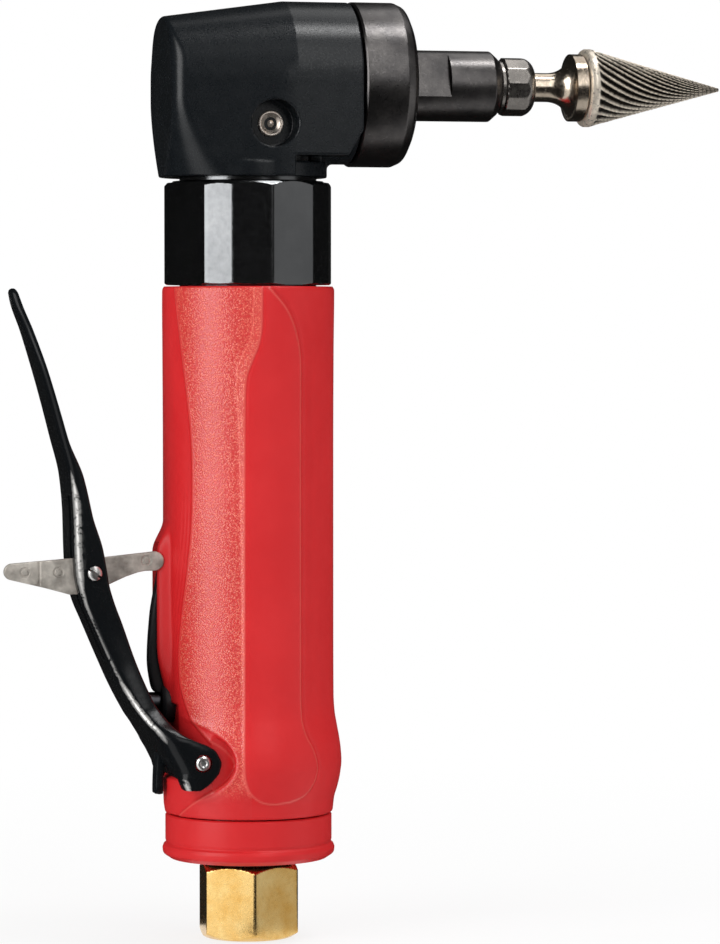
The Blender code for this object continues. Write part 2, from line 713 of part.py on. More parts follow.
def add_grip(root, finish):
    """The moulded sleeve: bulged at the lever's ears, relieved for the lever, open inside."""
    edge = 0.0006
    reach = 0.0080
    outline = [(GRIP_FOOT_RADIUS - edge, GRIP_Z), (GRIP_FOOT_RADIUS, GRIP_Z + edge)]
    for step in (-1.0, -0.6, -0.25, 0.0, 0.25, 0.6, 1.0):
        rise = GRIP_BULGE_RISE + step * reach
        bulge = (GRIP_BULGE_RADIUS - grip_radius(GRIP_BULGE_RISE)) * math.cos(step * math.pi / 2) ** 2
        outline.append((grip_radius(rise) + bulge, GRIP_Z + rise))
    for share in (0.35, 0.55, 0.75):
        outline.append((grip_radius(share * GRIP_LENGTH), GRIP_Z + share * GRIP_LENGTH))
    outline.append((GRIP_TOP_RADIUS, GRIP_TOP_Z - edge))
    outline.append((GRIP_TOP_RADIUS - edge, GRIP_TOP_Z))
    ledge = HOUSING_TOP_Z + GAP
    outline.append((TUBE_RADIUS + GAP, GRIP_TOP_Z))
    outline.append((TUBE_RADIUS + GAP, ledge))
    outline.append((HOUSING_RADIUS + GAP, ledge))
    outline.append((HOUSING_RADIUS + GAP, GRIP_Z))
    sleeve = turned("grip_sleeve", outline, finish["red_plastic"], root, LARGE_STEPS)
    floor = EAR_HALF_WIDTH - LEVER_SHEET - GAP
    outside = 2 * GRIP_BULGE_RADIUS
    ear_outline = [(PIVOT_X + x, PIVOT_Z + z) for x, z in EAR_POCKET]
    for name, low, high in (("left", floor, outside), ("right", -outside, -floor)):
        pocket = plate("cut_ear_pocket_" + name, ear_outline, low, high, None, root)
        change(sleeve, pocket, "DIFFERENCE")
    relief_low = (-outside, -floor + RELIEF_INSET, PIVOT_Z - RELIEF_BELOW)
    relief_high = (-HOUSING_RADIUS - RELIEF_WALL, floor - RELIEF_INSET, PIVOT_Z + RELIEF_ABOVE)
    change(sleeve, boxes("cut_back_relief", [(relief_low, relief_high)], root), "DIFFERENCE")
    at_valve = (0.0, 0.0, VALVE_Z)
    button = rod("cut_button", STEM_RADIUS + GAP, -outside, 0.0, None, root, TINY_STEPS, "X", at_valve)
    change(sleeve, button, "DIFFERENCE")
    slot_low = (-outside, -RIB_HALF_WIDTH - GAP, RIB_Z - GAP)
    slot_high = (RIB_FLOOR_X + GAP, RIB_HALF_WIDTH + GAP, RIB_Z + RIB_LENGTH + GAP)
    change(sleeve, boxes("cut_rib_slot", [(slot_low, slot_high)], root), "DIFFERENCE")
    return sleeve


def add_guide_rib(root, finish):
    """The black strip let into the back of the grip behind the lever."""
    outline = [(RIB_FLOOR_X, RIB_Z), (RIB_FLOOR_X, RIB_Z + RIB_LENGTH)]
    for share, height in ((1.0, 0.26), (0.78, 0.52), (0.5, 0.86), (0.22, 1.0), (0.0, 0.86)):
        outline.append((RIB_FLOOR_X - height * RIB_HEIGHT, RIB_Z + share * RIB_LENGTH))
    plate("guide_rib", outline, -RIB_HALF_WIDTH, RIB_HALF_WIDTH, finish["black_plastic"], root)


def add_valve(root, slider, finish):
    """Bush and spring in the housing, plunger and seal on the slider."""
    at_valve = (0.0, 0.0, VALVE_Z)
    bush_start = -HOUSING_RADIUS + 3 * GAP + GAP
    inner = STEM_RADIUS + GAP
    outer = CHAMBER_RADIUS - GAP
    ring("valve_bush", inner, outer, bush_start, SEAT_X, finish["steel"], root, SMALL_STEPS, "X", at_valve)
    neck = STEM_RADIUS - 3 * GAP
    shoulder = SEAT_X - 5 * GAP
    seal_start = SEAT_X + GAP
    seal_end = seal_start + VALVE_SEAL_WIDTH
    stem_end = seal_end + 3 * GAP
    profile = []
    for step in range(4):
        angle = math.radians(30.0 * step)
        along_stem = STEM_TIP_X + STEM_RADIUS * (1.0 - math.cos(angle))
        profile.append((STEM_RADIUS * math.sin(angle), along_stem))
    profile += [(STEM_RADIUS, shoulder), (neck, shoulder), (neck, stem_end), (0.0, stem_end)]
    turned("valve_plunger", profile, finish["steel"], slider, TINY_STEPS, "X")
    rubber = finish["rubber"]
    ring("valve_seal", neck + GAP, VALVE_SEAL_RADIUS, seal_start, seal_end, rubber, slider, SMALL_STEPS, "X")
    start = seal_end + GAP + WIRE_RADIUS
    end = CHAMBER_END_X - GAP - WIRE_RADIUS
    radius = (neck + CHAMBER_RADIUS) / 2
    coil("valve_spring", radius, start, end, SPRING_TURNS, finish["bright_steel"], root, "X", at_valve)


def lever_section(rise, back, half_back, half_flange, depth):
    """One closed cross-section of the lever's channel, at a height above its pivot."""
    sheet = LEVER_SHEET
    step = 0.0005 + 0.6 * (half_flange - half_back)
    inner_step = max(step, sheet) + 0.00005
    tip = back + depth
    half = [
        (tip, half_flange),
        (back + step, half_flange),
        (back, half_back),
    ]
    inside = [
        (back + sheet, half_back - 0.5 * sheet),
        (back + inner_step, half_flange - sheet),
        (tip, half_flange - sheet),
    ]
    points = [(x, -y, rise) for x, y in half]
    points += [(x, y, rise) for x, y in reversed(half)]
    points += [(x, y, rise) for x, y in reversed(inside)]
    points += [(x, -y, rise) for x, y in inside]
    return points


def add_throttle(pivot, finish):
    """The pressed channel lever, with its slot for the lock-off plate, on the pivot empty."""
    sections = [lever_section(*station) for station in LEVER_STATIONS]
    lever = lofted("throttle_lever", sections, finish["black_paint"], pivot)
    lock_x = LOCK_X - PIVOT_X
    lock_z = LOCK_Z - PIVOT_Z
    gap_low = (-1.0, -LEVER_BACK_HALF + LEVER_SHEET / 3, -1.0)
    gap_high = (0.0, LEVER_BACK_HALF - LEVER_SHEET / 3, LEVER_BACK_FOOT)
    change(lever, boxes("cut_lever_foot", [(gap_low, gap_high)], pivot), "DIFFERENCE")
    slot_low = (-1.0, -LOCK_OFFSET - LOCK_SHEET - LOCK_SLOT_GAP, lock_z - LOCK_WING_REACH + LEVER_SHEET / 6)
    slot_high = (0.0, -LOCK_OFFSET + LOCK_SLOT_GAP, lock_z + LOCK_ARM_REACH + LOCK_SLOT_GAP)
    change(lever, boxes("cut_lock_slot", [(slot_low, slot_high)], pivot), "DIFFERENCE")
    reach = 2 * EAR_HALF_WIDTH
    hole = PIVOT_PIN_RADIUS + GAP
    pivot_bore = rod("cut_ear_holes", hole, -reach, reach, None, pivot, TINY_STEPS, "Y")
    change(lever, pivot_bore, "DIFFERENCE")
    at_lock = (lock_x, 0.0, lock_z)
    hole = LOCK_PIN_RADIUS + GAP
    lock_bore = rod("cut_lock_holes", hole, -reach, reach, None, pivot, TINY_STEPS, "Y", at_lock)
    change(lever, lock_bore, "DIFFERENCE")
    seat = LEVER_HALF_WIDTH + GAP
    half = seat + LOCK_PIN_HEAD / 2
    profile = [
        (0.0, -half),
        (LOCK_PIN_HEAD, -half),
        (LOCK_PIN_HEAD, -seat),
        (LOCK_PIN_RADIUS, -seat),
        (LOCK_PIN_RADIUS, seat),
        (LOCK_PIN_HEAD, seat),
        (LOCK_PIN_HEAD, half),
        (0.0, half),
    ]
    steel = finish["bright_steel"]
    turned("lock_pin", profile, steel, pivot, TINY_STEPS, "Y", at_lock)
    radius = LOCK_PIN_RADIUS + GAP + WIRE_RADIUS
    start = -LOCK_OFFSET + GAP + WIRE_RADIUS
    end = LEVER_HALF_WIDTH - LEVER_SHEET - GAP - WIRE_RADIUS
    coil("lock_spring", radius, start, end, SPRING_TURNS, steel, pivot, "Y", at_lock)


def add_lock_lever(pivot, finish):
    """The flat lock-off plate: a wing outside the lever and an arm that meets the grip."""
    wing = LOCK_WING_END
    arm = LOCK_ARM_END
    hub = LOCK_HUB_RADIUS
    outline = arc(wing - LOCK_WING_REACH, wing / 6, wing, 250.0, 95.0, 5)
    outline += LOCK_WING_TOP
    outline += arc(LOCK_ARM_REACH - arm, arm + GAP / 3, arm, 85.0, -85.0, 5)
    outline += LOCK_ARM_FOOT
    outline += arc(0.0, -0.3 * hub, hub, -35.0, -100.0, 3)
    outline += LOCK_WING_FOOT
    high = -LOCK_OFFSET
    lock = plate("lock_lever", outline, high - LOCK_SHEET, high, finish["steel"], pivot)
    hole = LOCK_PIN_RADIUS + GAP
    reach = 2 * EAR_HALF_WIDTH
    change(lock, rod("cut_lock_hub", hole, -reach, reach, None, pivot, TINY_STEPS, "Y"), "DIFFERENCE")


def add_motor_case(root, finish):
    """Steel tube, end plates, liner, dowel and clamp ring: everything still in the air motor."""
    tube = [
        (TUBE_BORE, TUBE_Z),
        (TUBE_RADIUS, TUBE_Z),
        (TUBE_RADIUS, TUBE_SHOULDER_Z),
        (TUBE_NECK_RADIUS, TUBE_SHOULDER_Z),
        (TUBE_NECK_RADIUS, TUBE_TOP_Z),
        (TUBE_BORE, TUBE_TOP_Z),
    ]
    turned("motor_housing", tube, finish["dark_steel"], root, LARGE_STEPS)
    outside = TUBE_BORE - GAP
    rear_top = REAR_PLATE_Z + REAR_PLATE_HEIGHT
    rear_pocket = ROTOR_REAR_BEARING[1] + GAP
    rear_web = REAR_PLATE_HEIGHT - ROTOR_REAR_BEARING[2] - 2 * GAP
    rear_hole = ROTOR_REAR_SHAFT + 2 * GAP
    profile = seat_profile(REAR_PLATE_Z, rear_top, outside, rear_pocket, rear_hole, rear_web, False)
    rear = turned("rear_end_plate", profile, finish["steel"], root, MEDIUM_STEPS)
    front_top = FRONT_PLATE_Z + FRONT_PLATE_HEIGHT
    front_pocket = ROTOR_FRONT_BEARING[1] + GAP
    front_hole = ROTOR_FRONT_SHAFT + 2 * GAP
    profile = seat_profile(FRONT_PLATE_Z, front_top, outside, front_pocket, front_hole, PLATE_WEB, True)
    turned("front_end_plate", profile, finish["steel"], root, MEDIUM_STEPS)
    bore_centre = (0.0, LINER_OFFSET)
    count = MEDIUM_STEPS
    loops = [
        circle(outside, LINER_Z, count),
        circle(outside, LINER_TOP_Z, count),
        circle(LINER_BORE, LINER_TOP_Z, count, 0.0, bore_centre),
        circle(LINER_BORE, LINER_Z, count, 0.0, bore_centre),
    ]
    liner = lofted("motor_liner", loops, finish["steel"], root, closed=True)
    pin_y = -(outside + LINER_BORE - LINER_OFFSET) / 2
    at_pin = (0.0, pin_y, 0.0)
    half = PLATE_PIN_LENGTH / 2
    low = LINER_Z - half
    high = LINER_Z + half
    hole = rod(
        "cut_dowel", PLATE_PIN_RADIUS + GAP, low - GAP, high + GAP, None, root, TINY_STEPS, "Z", at_pin
    )
    change(rear, hole, "DIFFERENCE")
    change(liner, hole, "DIFFERENCE")
    steel = finish["steel"]
    rod("end_plate_pin", PLATE_PIN_RADIUS, low, high, steel, root, TINY_STEPS, "Z", at_pin)
    top = CLAMP_RING_Z + CLAMP_RING_HEIGHT
    ring("clamp_ring", CLAMP_RING_BORE, outside, CLAMP_RING_Z, top, steel, root, MEDIUM_STEPS)


def add_rotor(shaft, finish):
    """The slotted rotor with a hexagon socket for the pinion, and its vanes."""
    low = REAR_PLATE_Z + GAP
    body_low = LINER_Z + GAP
    body_high = LINER_TOP_Z - GAP
    profile = [
        (0.0, low),
        (ROTOR_REAR_SHAFT, low),
        (ROTOR_REAR_SHAFT, body_low),
        (ROTOR_RADIUS, body_low),
        (ROTOR_RADIUS, body_high),
        (ROTOR_FRONT_SHAFT, body_high),
        (ROTOR_FRONT_SHAFT, DRIVE_CUP_Z),
        (DRIVE_CUP_RADIUS, DRIVE_CUP_Z),
        (DRIVE_CUP_RADIUS, DRIVE_CUP_TOP_Z),
        (0.0, DRIVE_CUP_TOP_Z),
    ]
    rotor = turned("rotor", profile, finish["steel"], shaft, MEDIUM_STEPS)
    floor = ROTOR_RADIUS - VANE_DEPTH - 2 * GAP
    half = VANE_THICKNESS / 2
    turns = [2 * math.pi * (index + 0.25) / VANES for index in range(VANES)]
    slot = ((floor, -half - GAP, body_low - GAP), (2 * ROTOR_RADIUS, half + GAP, body_high + GAP))
    change(rotor, boxes("cut_vane_slots", [slot], shaft, turns=turns), "DIFFERENCE")
    for number, turn in enumerate(turns, start=1):
        vane = ((floor + GAP, -half, body_low), (ROTOR_RADIUS - GAP, half, body_high))
        boxes("vane_" + str(number), [vane], shaft, finish["vane_resin"], turns=[turn])
    socket_floor = DRIVE_CUP_Z + DRIVE_CUP_FLOOR
    loops = [
        polygon(DRIVE_HEX_APOTHEM + GAP, 6, socket_floor, 6),
        polygon(DRIVE_HEX_APOTHEM + GAP, 6, 2 * DRIVE_CUP_TOP_Z, 6),
    ]
    change(rotor, lofted("cut_drive_socket", loops, None, shaft), "DIFFERENCE")


def tooth_ring(teeth, scale, addendum, dedendum, height, turn):
    """Straight bevel teeth around one plane: four points for each tooth."""
    pitch_radius = GEAR_MODULE * teeth / 2
    pitch = 2 * math.pi / teeth
    points = []
    for tooth in range(teeth):
        for share, rise in ((-0.24, -dedendum), (-0.10, addendum), (0.10, addendum), (0.24, -dedendum)):
            angle = turn + (tooth + share) * pitch
            radius = scale * (pitch_radius + rise)
            points.append((radius * math.cos(angle), radius * math.sin(angle), height))
    return points


def tooth_circle(teeth, radius, height, turn):
    """A circle whose points stand under the corners of a tooth ring."""
    points = []
    for x, y, z in tooth_ring(teeth, 1.0, 0.0, 0.0, height, turn):
        size = math.hypot(x, y)
        points.append((x * radius / size, y * radius / size, z))
    return points


def add_pinion(shaft, finish):
    """The bevel pinion, in one piece with its shaft and hexagon tail."""
    cone = math.atan2(PINION_PITCH_RADIUS, GEAR_PITCH_RADIUS)
    addendum = TOOTH_ADDENDUM * GEAR_MODULE / math.cos(cone)
    dedendum = TOOTH_DEDENDUM * GEAR_MODULE / math.cos(cone)
    small = 1.0 - TOOTH_FACE_SHARE
    large_z = SPINDLE_Z - GEAR_PITCH_RADIUS
    small_z = SPINDLE_Z - GEAR_PITCH_RADIUS * small
    tail_low = DRIVE_CUP_Z + DRIVE_CUP_FLOOR + GAP
    tail_high = DRIVE_CUP_TOP_Z + GAP
    count = 4 * PINION_TEETH
    loops = [
        polygon(DRIVE_HEX_APOTHEM, 6, tail_low, count),
        polygon(DRIVE_HEX_APOTHEM, 6, tail_high, count),
        circle(ROTOR_FRONT_SHAFT, tail_high, count),
        tooth_circle(PINION_TEETH, ROTOR_FRONT_SHAFT, large_z, 0.0),
        tooth_ring(PINION_TEETH, 1.0, addendum, dedendum, large_z, 0.0),
        tooth_ring(PINION_TEETH, small, addendum, dedendum, small_z, 0.0),
    ]
    lofted("bevel_pinion", loops, finish["steel"], shaft)


def add_bevel_gear(shaft, finish):
    """The bevel gear on the spindle, with a tooth gap facing the pinion."""
    cone = math.atan2(GEAR_PITCH_RADIUS, PINION_PITCH_RADIUS)
    addendum = TOOTH_ADDENDUM * GEAR_MODULE / math.cos(cone)
    dedendum = TOOTH_DEDENDUM * GEAR_MODULE / math.cos(cone)
    small = 1.0 - TOOTH_FACE_SHARE
    bore = SPINDLE_SHAFT_RADIUS + GAP
    turn = math.pi / GEAR_TEETH
    loops = [
        tooth_circle(GEAR_TEETH, bore, GEAR_X * small, turn),
        tooth_ring(GEAR_TEETH, small, addendum, dedendum, GEAR_X * small, turn),
        tooth_ring(GEAR_TEETH, 1.0, addendum, dedendum, GEAR_X, turn),
        tooth_circle(GEAR_TEETH, GEAR_HUB_RADIUS, GEAR_X, turn),
        tooth_circle(GEAR_TEETH, GEAR_HUB_RADIUS, GEAR_HUB_X, turn),
        tooth_circle(GEAR_TEETH, bore, GEAR_HUB_X, turn),
    ]
    lofted("bevel_gear", loops, finish["steel"], shaft, closed=True, transform=along("X"))


def add_coupling_collar(root, finish):
    """The wrench collar that screws the motor tube to the head."""
    corners = [math.radians(corner) for corner in FACET_CORNERS]
    corners += [corner + math.pi for corner in corners]
    between = 3
    angles = []
    facets = []
    for index, corner in enumerate(corners):
        span = (corners[(index + 1) % len(corners)] - corner) % (2 * math.pi)
        for part in range(between):
            offset = span * part / between
            flat = COLLAR_RADIUS * math.cos(span / 2) / math.cos(offset - span / 2)
            angles.append(math.radians(FACET_TURN) - corner - offset)
            facets.append(flat)
    outline = list(zip(angles, facets))

    def facet_loop(height, shrink=0.0):
        return [((r - shrink) * math.cos(a), (r - shrink) * math.sin(a), height) for a, r in outline]

    def round_loop(radius, height):
        return [(radius * math.cos(a), radius * math.sin(a), height) for a in angles]

    lower_bore = TUBE_NECK_RADIUS + GAP
    shelf_bore = DRIVE_CUP_RADIUS + 3 * GAP
    pocket = PINION_BEARING[1] + GAP
    loops = [
        facet_loop(COLLAR_Z),
        facet_loop(COLLAR_TOP_Z - HEAD_JOINT),
        facet_loop(COLLAR_TOP_Z, HEAD_JOINT / 2),
        round_loop(SPIGOT_RADIUS, COLLAR_TOP_Z),
        round_loop(SPIGOT_RADIUS, SPIGOT_TOP_Z),
        round_loop(pocket, SPIGOT_TOP_Z),
        round_loop(pocket, PINION_POCKET_Z),
        round_loop(shelf_bore, PINION_POCKET_Z),
        round_loop(shelf_bore, COLLAR_SHELF_Z),
        round_loop(lower_bore, COLLAR_SHELF_Z),
        round_loop(lower_bore, COLLAR_Z),
    ]
    lofted("coupling_collar", loops, finish["black_paint"], root, closed=True)
    low = PINION_POCKET_Z + PINION_BEARING[2] + 2 * GAP
    high = SPIGOT_TOP_Z - GAP
    inner = PINION_BEARING[0] + (PINION_BEARING[1] - PINION_BEARING[0]) / 2
    steel = finish["steel"]
    ring("pinion_retainer", inner, pocket - GAP, low, high, steel, root, MEDIUM_STEPS)


def head_section(x, half_width, top, bottom, upper_power, lower_power):
    """One upright section of the head around the spindle axis."""
    points = []
    for index in range(HEAD_STEPS):
        angle = 2 * math.pi * (index + 0.5) / HEAD_STEPS
        power = upper_power if math.sin(angle) > 0 else lower_power
        height = top if math.sin(angle) > 0 else bottom
        y = half_width * math.copysign(abs(math.cos(angle)) ** (2 / power), math.cos(angle))
        z = height * math.copysign(abs(math.sin(angle)) ** (2 / power), math.sin(angle))
        points.append((x, y, z))
    return points


def add_head(root, finish):
    """The angle-head casting with its gear cavity, pinion well and fitting recess."""
    neck = HEAD_NECK_RADIUS - 0.0009
    rear = HEAD_BACK_FACE_RADIUS
    sections = [
        head_section(HEAD_BACK_X, rear - 0.0009, rear, HEAD_RISE - 0.0015, 2.0, 2.0),
        head_section(HEAD_BACK_X + 0.0016, HEAD_SIDE - 0.0017, rear + 0.0012, HEAD_RISE - 0.0004, 2.2, 2.3),
        head_section(HEAD_BACK_X + 0.0061, HEAD_SIDE, rear + 0.0021, HEAD_RISE, 2.4, 5.0),
        head_section(0.0, HEAD_SIDE, HEAD_RADIUS - 0.0008, HEAD_RISE, 2.3, 8.0),
        head_section(neck / 2, HEAD_SIDE, HEAD_RADIUS, HEAD_RISE, 2.0, 6.0),
        head_section(neck, HEAD_SIDE, HEAD_RADIUS, HEAD_RISE, 2.0, 4.0),
        head_section(neck + 0.0012, HEAD_RADIUS, HEAD_RADIUS, HEAD_RADIUS, 2.0, 2.0),
        head_section(PARTING_X, HEAD_RADIUS, HEAD_RADIUS, HEAD_RADIUS, 2.0, 2.0),
    ]
    at_spindle = (0.0, 0.0, SPINDLE_Z)
    lift = Matrix.Translation(at_spindle)
    head = lofted("head_housing", sections, finish["black_paint"], root, transform=lift)
    pocket = SPINDLE_REAR_BEARING[1] + GAP
    pocket_start = REAR_BEARING_X - GAP
    pocket_end = REAR_BEARING_X + SPINDLE_REAR_BEARING[2] + GAP
    spigot_start = PARTING_X - CAP_SPIGOT_LENGTH - GAP
    spigot = CAP_SPIGOT_RADIUS + GAP
    profile = [
        (0.0, pocket_start),
        (pocket, pocket_start),
        (pocket, pocket_end),
        (GEAR_CAVITY_RADIUS, pocket_end),
        (GEAR_CAVITY_RADIUS, spigot_start),
        (spigot, spigot_start),
        (spigot, 2 * PARTING_X),
        (0.0, 2 * PARTING_X),
    ]
    cavity = turned("cut_gear_cavity", profile, None, root, MEDIUM_STEPS, "X", at_spindle)
    change(head, cavity, "DIFFERENCE")
    well_low = SPIGOT_TOP_Z + GAP
    profile = [
        (0.0, HEAD_Z - HEAD_RISE),
        (SPIGOT_RADIUS + GAP, HEAD_Z - HEAD_RISE),
        (SPIGOT_RADIUS + GAP, well_low),
        (PINION_WELL_RADIUS, well_low),
        (PINION_WELL_RADIUS, SPINDLE_Z),
        (0.0, SPINDLE_Z),
    ]
    change(head, turned("cut_pinion_well", profile, None, root, LARGE_STEPS), "DIFFERENCE")
    at_fitting = (FITTING_X, 0.0, SPINDLE_Z - FITTING_DROP)
    hole = FITTING_STEM_RADIUS + GAP
    profile = [
        (0.0, -2 * HEAD_RADIUS),
        (FITTING_RECESS_RADIUS, -2 * HEAD_RADIUS),
        (FITTING_RECESS_RADIUS, -FITTING_RECESS_FLOOR),
        (hole, -FITTING_RECESS_FLOOR),
        (hole, 0.0),
        (0.0, 0.0),
    ]
    recess = turned("cut_fitting_recess", profile, None, root, SMALL_STEPS, "Y", at_fitting)
    change(head, recess, "DIFFERENCE")
    flange = FITTING_RECESS_FLOOR + GAP
    profile = [
        (0.0, -PINION_WELL_RADIUS),
        (FITTING_STEM_RADIUS, -PINION_WELL_RADIUS),
        (FITTING_STEM_RADIUS, -flange),
        (FITTING_RADIUS, -flange),
        (FITTING_RADIUS, -flange - 0.0010),
        (FITTING_RADIUS - 0.0006, -flange - 0.0016),
        (FITTING_STEM_RADIUS, -flange - 0.0016),
        (FITTING_STEM_RADIUS - 0.0006, -flange - 0.0023),
        (0.0, -flange - 0.0026),
    ]
    bright = finish["bright_steel"]
    turned("grease_fitting", profile, bright, root, SMALL_STEPS, "Y", at_fitting)


def add_output_collar(root, finish):
    """The bearing cap at the head's mouth, and the seal in it."""
    at_spindle = (0.0, 0.0, SPINDLE_Z)
    spigot_start = PARTING_X - CAP_SPIGOT_LENGTH
    pocket = SPINDLE_FRONT_BEARING[1] + GAP
    pocket_end = FRONT_BEARING_END_X + GAP
    seal_pocket = SEAL_RADIUS + GAP
    seal_end = SEAL_END_X + GAP
    hole = NOSE_RADIUS + GAP
    profile = [
        (pocket, spigot_start),
        (CAP_SPIGOT_RADIUS, spigot_start),
        (CAP_SPIGOT_RADIUS, CAP_COLLAR_X),
        (CAP_COLLAR_RADIUS, CAP_COLLAR_X),
        (CAP_COLLAR_RADIUS, FACE_X - CAP_COLLAR_CHAMFER),
        (CAP_COLLAR_RADIUS - CAP_COLLAR_CHAMFER, FACE_X),
        (hole, FACE_X),
        (hole, seal_end),
        (seal_pocket, seal_end),
        (seal_pocket, pocket_end),
        (pocket, pocket_end),
    ]
    turned("output_collar", profile, finish["black_paint"], root, LARGE_STEPS, "X", at_spindle)
    inner = SEAL_LAND_RADIUS + GAP
    start = FRONT_BEARING_END_X + 2 * GAP
    rubber = finish["rubber"]
    ring("spindle_seal", inner, SEAL_RADIUS, start, SEAL_END_X, rubber, root, MEDIUM_STEPS, "X", at_spindle)


def add_spindle(shaft, finish):
    """The stepped spindle with wrench flats, and the spacer behind its front bearing."""
    rear_end = REAR_BEARING_X + SPINDLE_REAR_BEARING[2] + GAP
    shoulder = GEAR_HUB_X + GAP
    land = FRONT_BEARING_END_X + GAP
    stub_end = NOSE_END_X + STUB_LENGTH
    profile = [
        (0.0, REAR_BEARING_X),
        (SPINDLE_REAR_RADIUS, REAR_BEARING_X),
        (SPINDLE_REAR_RADIUS, rear_end),
        (SPINDLE_SHAFT_RADIUS, rear_end),
        (SPINDLE_SHAFT_RADIUS, shoulder),
        (SPINDLE_FRONT_RADIUS, shoulder),
        (SPINDLE_FRONT_RADIUS, land),
        (SEAL_LAND_RADIUS, land),
        (SEAL_LAND_RADIUS, NOSE_X),
        (NOSE_RADIUS, NOSE_X),
        (NOSE_RADIUS, NOSE_END_X - NOSE_CHAMFER),
        (NOSE_RADIUS - NOSE_CHAMFER, NOSE_END_X),
        (STUB_RADIUS, NOSE_END_X),
        (STUB_RADIUS, stub_end),
        (COLLET_RADIUS + FINE_GAP, stub_end),
        (COLLET_RADIUS + FINE_GAP, COLLET_X - GAP),
        (0.0, COLLET_X - GAP),
    ]
    spindle = turned("spindle", profile, finish["dark_steel"], shaft, MEDIUM_STEPS, "X")
    start = NOSE_X + NOSE_FLAT_START
    end = start + NOSE_FLAT_LENGTH
    far = 2 * NOSE_RADIUS
    flat = NOSE_FLAT_WIDTH / 2
    bounds = [((start, -far, -far), (end, -flat, far)), ((start, flat, -far), (end, far, far))]
    flats = boxes("cut_wrench_flats", bounds, shaft, turns=[-NOSE_FLAT_TILT], axis="X")
    change(spindle, flats, "DIFFERENCE")
    inner = SPINDLE_FRONT_RADIUS + GAP
    start = shoulder + 2 * GAP
    end = FRONT_BEARING_END_X - SPINDLE_FRONT_BEARING[2] - GAP
    outer = inner + SPACER_WALL
    ring("spindle_spacer", inner, outer, start, end, finish["steel"], shaft, MEDIUM_STEPS, "X")


def add_collet(shaft, finish):
    """The slit collet and its twelve-sided nut."""
    inner = SHANK_RADIUS + FINE_GAP
    end = COLLET_X + COLLET_LENGTH
    collet = ring("collet", inner, COLLET_RADIUS, COLLET_X, end, finish["steel"], shaft, SMALL_STEPS, "X")
    slit = ((COLLET_X + COLLET_LENGTH / 4, -FINE_GAP, -NUT_RADIUS), (2 * end, FINE_GAP, NUT_RADIUS))
    turns = [math.radians(turn) for turn in (7.5, 67.5, 127.5)]
    change(collet, boxes("cut_collet_slits", [slit], shaft, turns=turns, axis="X"), "DIFFERENCE")
    count = 2 * NUT_SIDES
    apothem = NUT_RADIUS * math.cos(math.pi / NUT_SIDES)
    thread = STUB_RADIUS + FINE_GAP
    shoulder = apothem - GAP
    hole = SHANK_RADIUS + GAP
    shoulder_end = NUT_X + 0.0009
    cone_start = NUT_END_X - NUT_CONE_LENGTH
    cavity_end = max(NOSE_END_X + STUB_LENGTH, end) + GAP
    loops = [
        circle(thread, NUT_X, count),
        circle(shoulder, NUT_X, count),
        circle(shoulder, shoulder_end, count),
        polygon(apothem, NUT_SIDES, shoulder_end, count),
        polygon(apothem, NUT_SIDES, cone_start, count),
        circle(hole + 0.0007, NUT_END_X, count),
        circle(hole, NUT_END_X, count),
        circle(hole, NUT_END_X - 0.0008, count),
        circle(thread, cavity_end, count),
    ]
    lofted("collet_nut", loops, finish["steel"], shaft, closed=True, transform=along("X"))


def add_burr(shaft, finish):
    """The round shank with its flared neck, and the cone head."""
    flare = BURR_NECK_RADIUS - SHANK_RADIUS
    flare_end = BURR_NECK_END_X - BURR_NECK_LENGTH
    profile = [(0.0, COLLET_X + GAP), (SHANK_RADIUS, COLLET_X + GAP)]
    for share in (0.0, 0.2, 0.4, 0.6, 0.8, 1.0):
        angle = share * math.pi / 2
        radius = SHANK_RADIUS + flare * (1.0 - math.cos(angle))
        profile.append((radius, flare_end - flare * (1.0 - math.sin(angle))))
    profile += [(BURR_NECK_RADIUS, BURR_NECK_END_X), (0.0, BURR_NECK_END_X)]
    turned("burr_shank", profile, finish["bright_steel"], shaft, SMALL_STEPS, "X")
    rim = BURR_RIM_LENGTH / 2
    profile = [
        (0.0, BURR_X),
        (BURR_RADIUS - rim, BURR_X),
        (BURR_RADIUS, BURR_X + rim),
        (BURR_RADIUS, BURR_X + BURR_RIM_LENGTH),
        (BURR_TIP_RADIUS, TIP_X - BURR_TIP_RADIUS),
        (0.0, TIP_X),
    ]
    turned("burr_head", profile, finish["carbide"], shaft, MEDIUM_STEPS, "X")


def add_bearings(root, rotor_axis, spindle_axis, cages, finish):
    """The five ball bearings, each on its own shaft."""
    steel = finish["bright_steel"]
    on_handle = (0.0, 0.0, 0.0)
    on_spindle = (0.0, 0.0, SPINDLE_Z)
    rear_middle = REAR_PLATE_Z + GAP + ROTOR_REAR_BEARING[2] / 2
    front_middle = FRONT_PLATE_Z + PLATE_WEB + GAP + ROTOR_FRONT_BEARING[2] / 2
    pinion_middle = PINION_POCKET_Z + GAP + PINION_BEARING[2] / 2
    back_middle = REAR_BEARING_X + SPINDLE_REAR_BEARING[2] / 2
    face_middle = FRONT_BEARING_END_X - SPINDLE_FRONT_BEARING[2] / 2
    plan = [
        ("rotor_rear", ROTOR_REAR_BEARING, rear_middle, "Z", on_handle, rotor_axis),
        ("rotor_front", ROTOR_FRONT_BEARING, front_middle, "Z", on_handle, rotor_axis),
        ("pinion", PINION_BEARING, pinion_middle, "Z", on_handle, rotor_axis),
        ("spindle_rear", SPINDLE_REAR_BEARING, back_middle, "X", on_spindle, spindle_axis),
        ("spindle_front", SPINDLE_FRONT_BEARING, face_middle, "X", on_spindle, spindle_axis),
    ]
    for name, sizes, middle, axis, centre, shaft in plan:
        ball_bearing(name, sizes, middle, axis, centre, (root, shaft, cages[name]), steel)


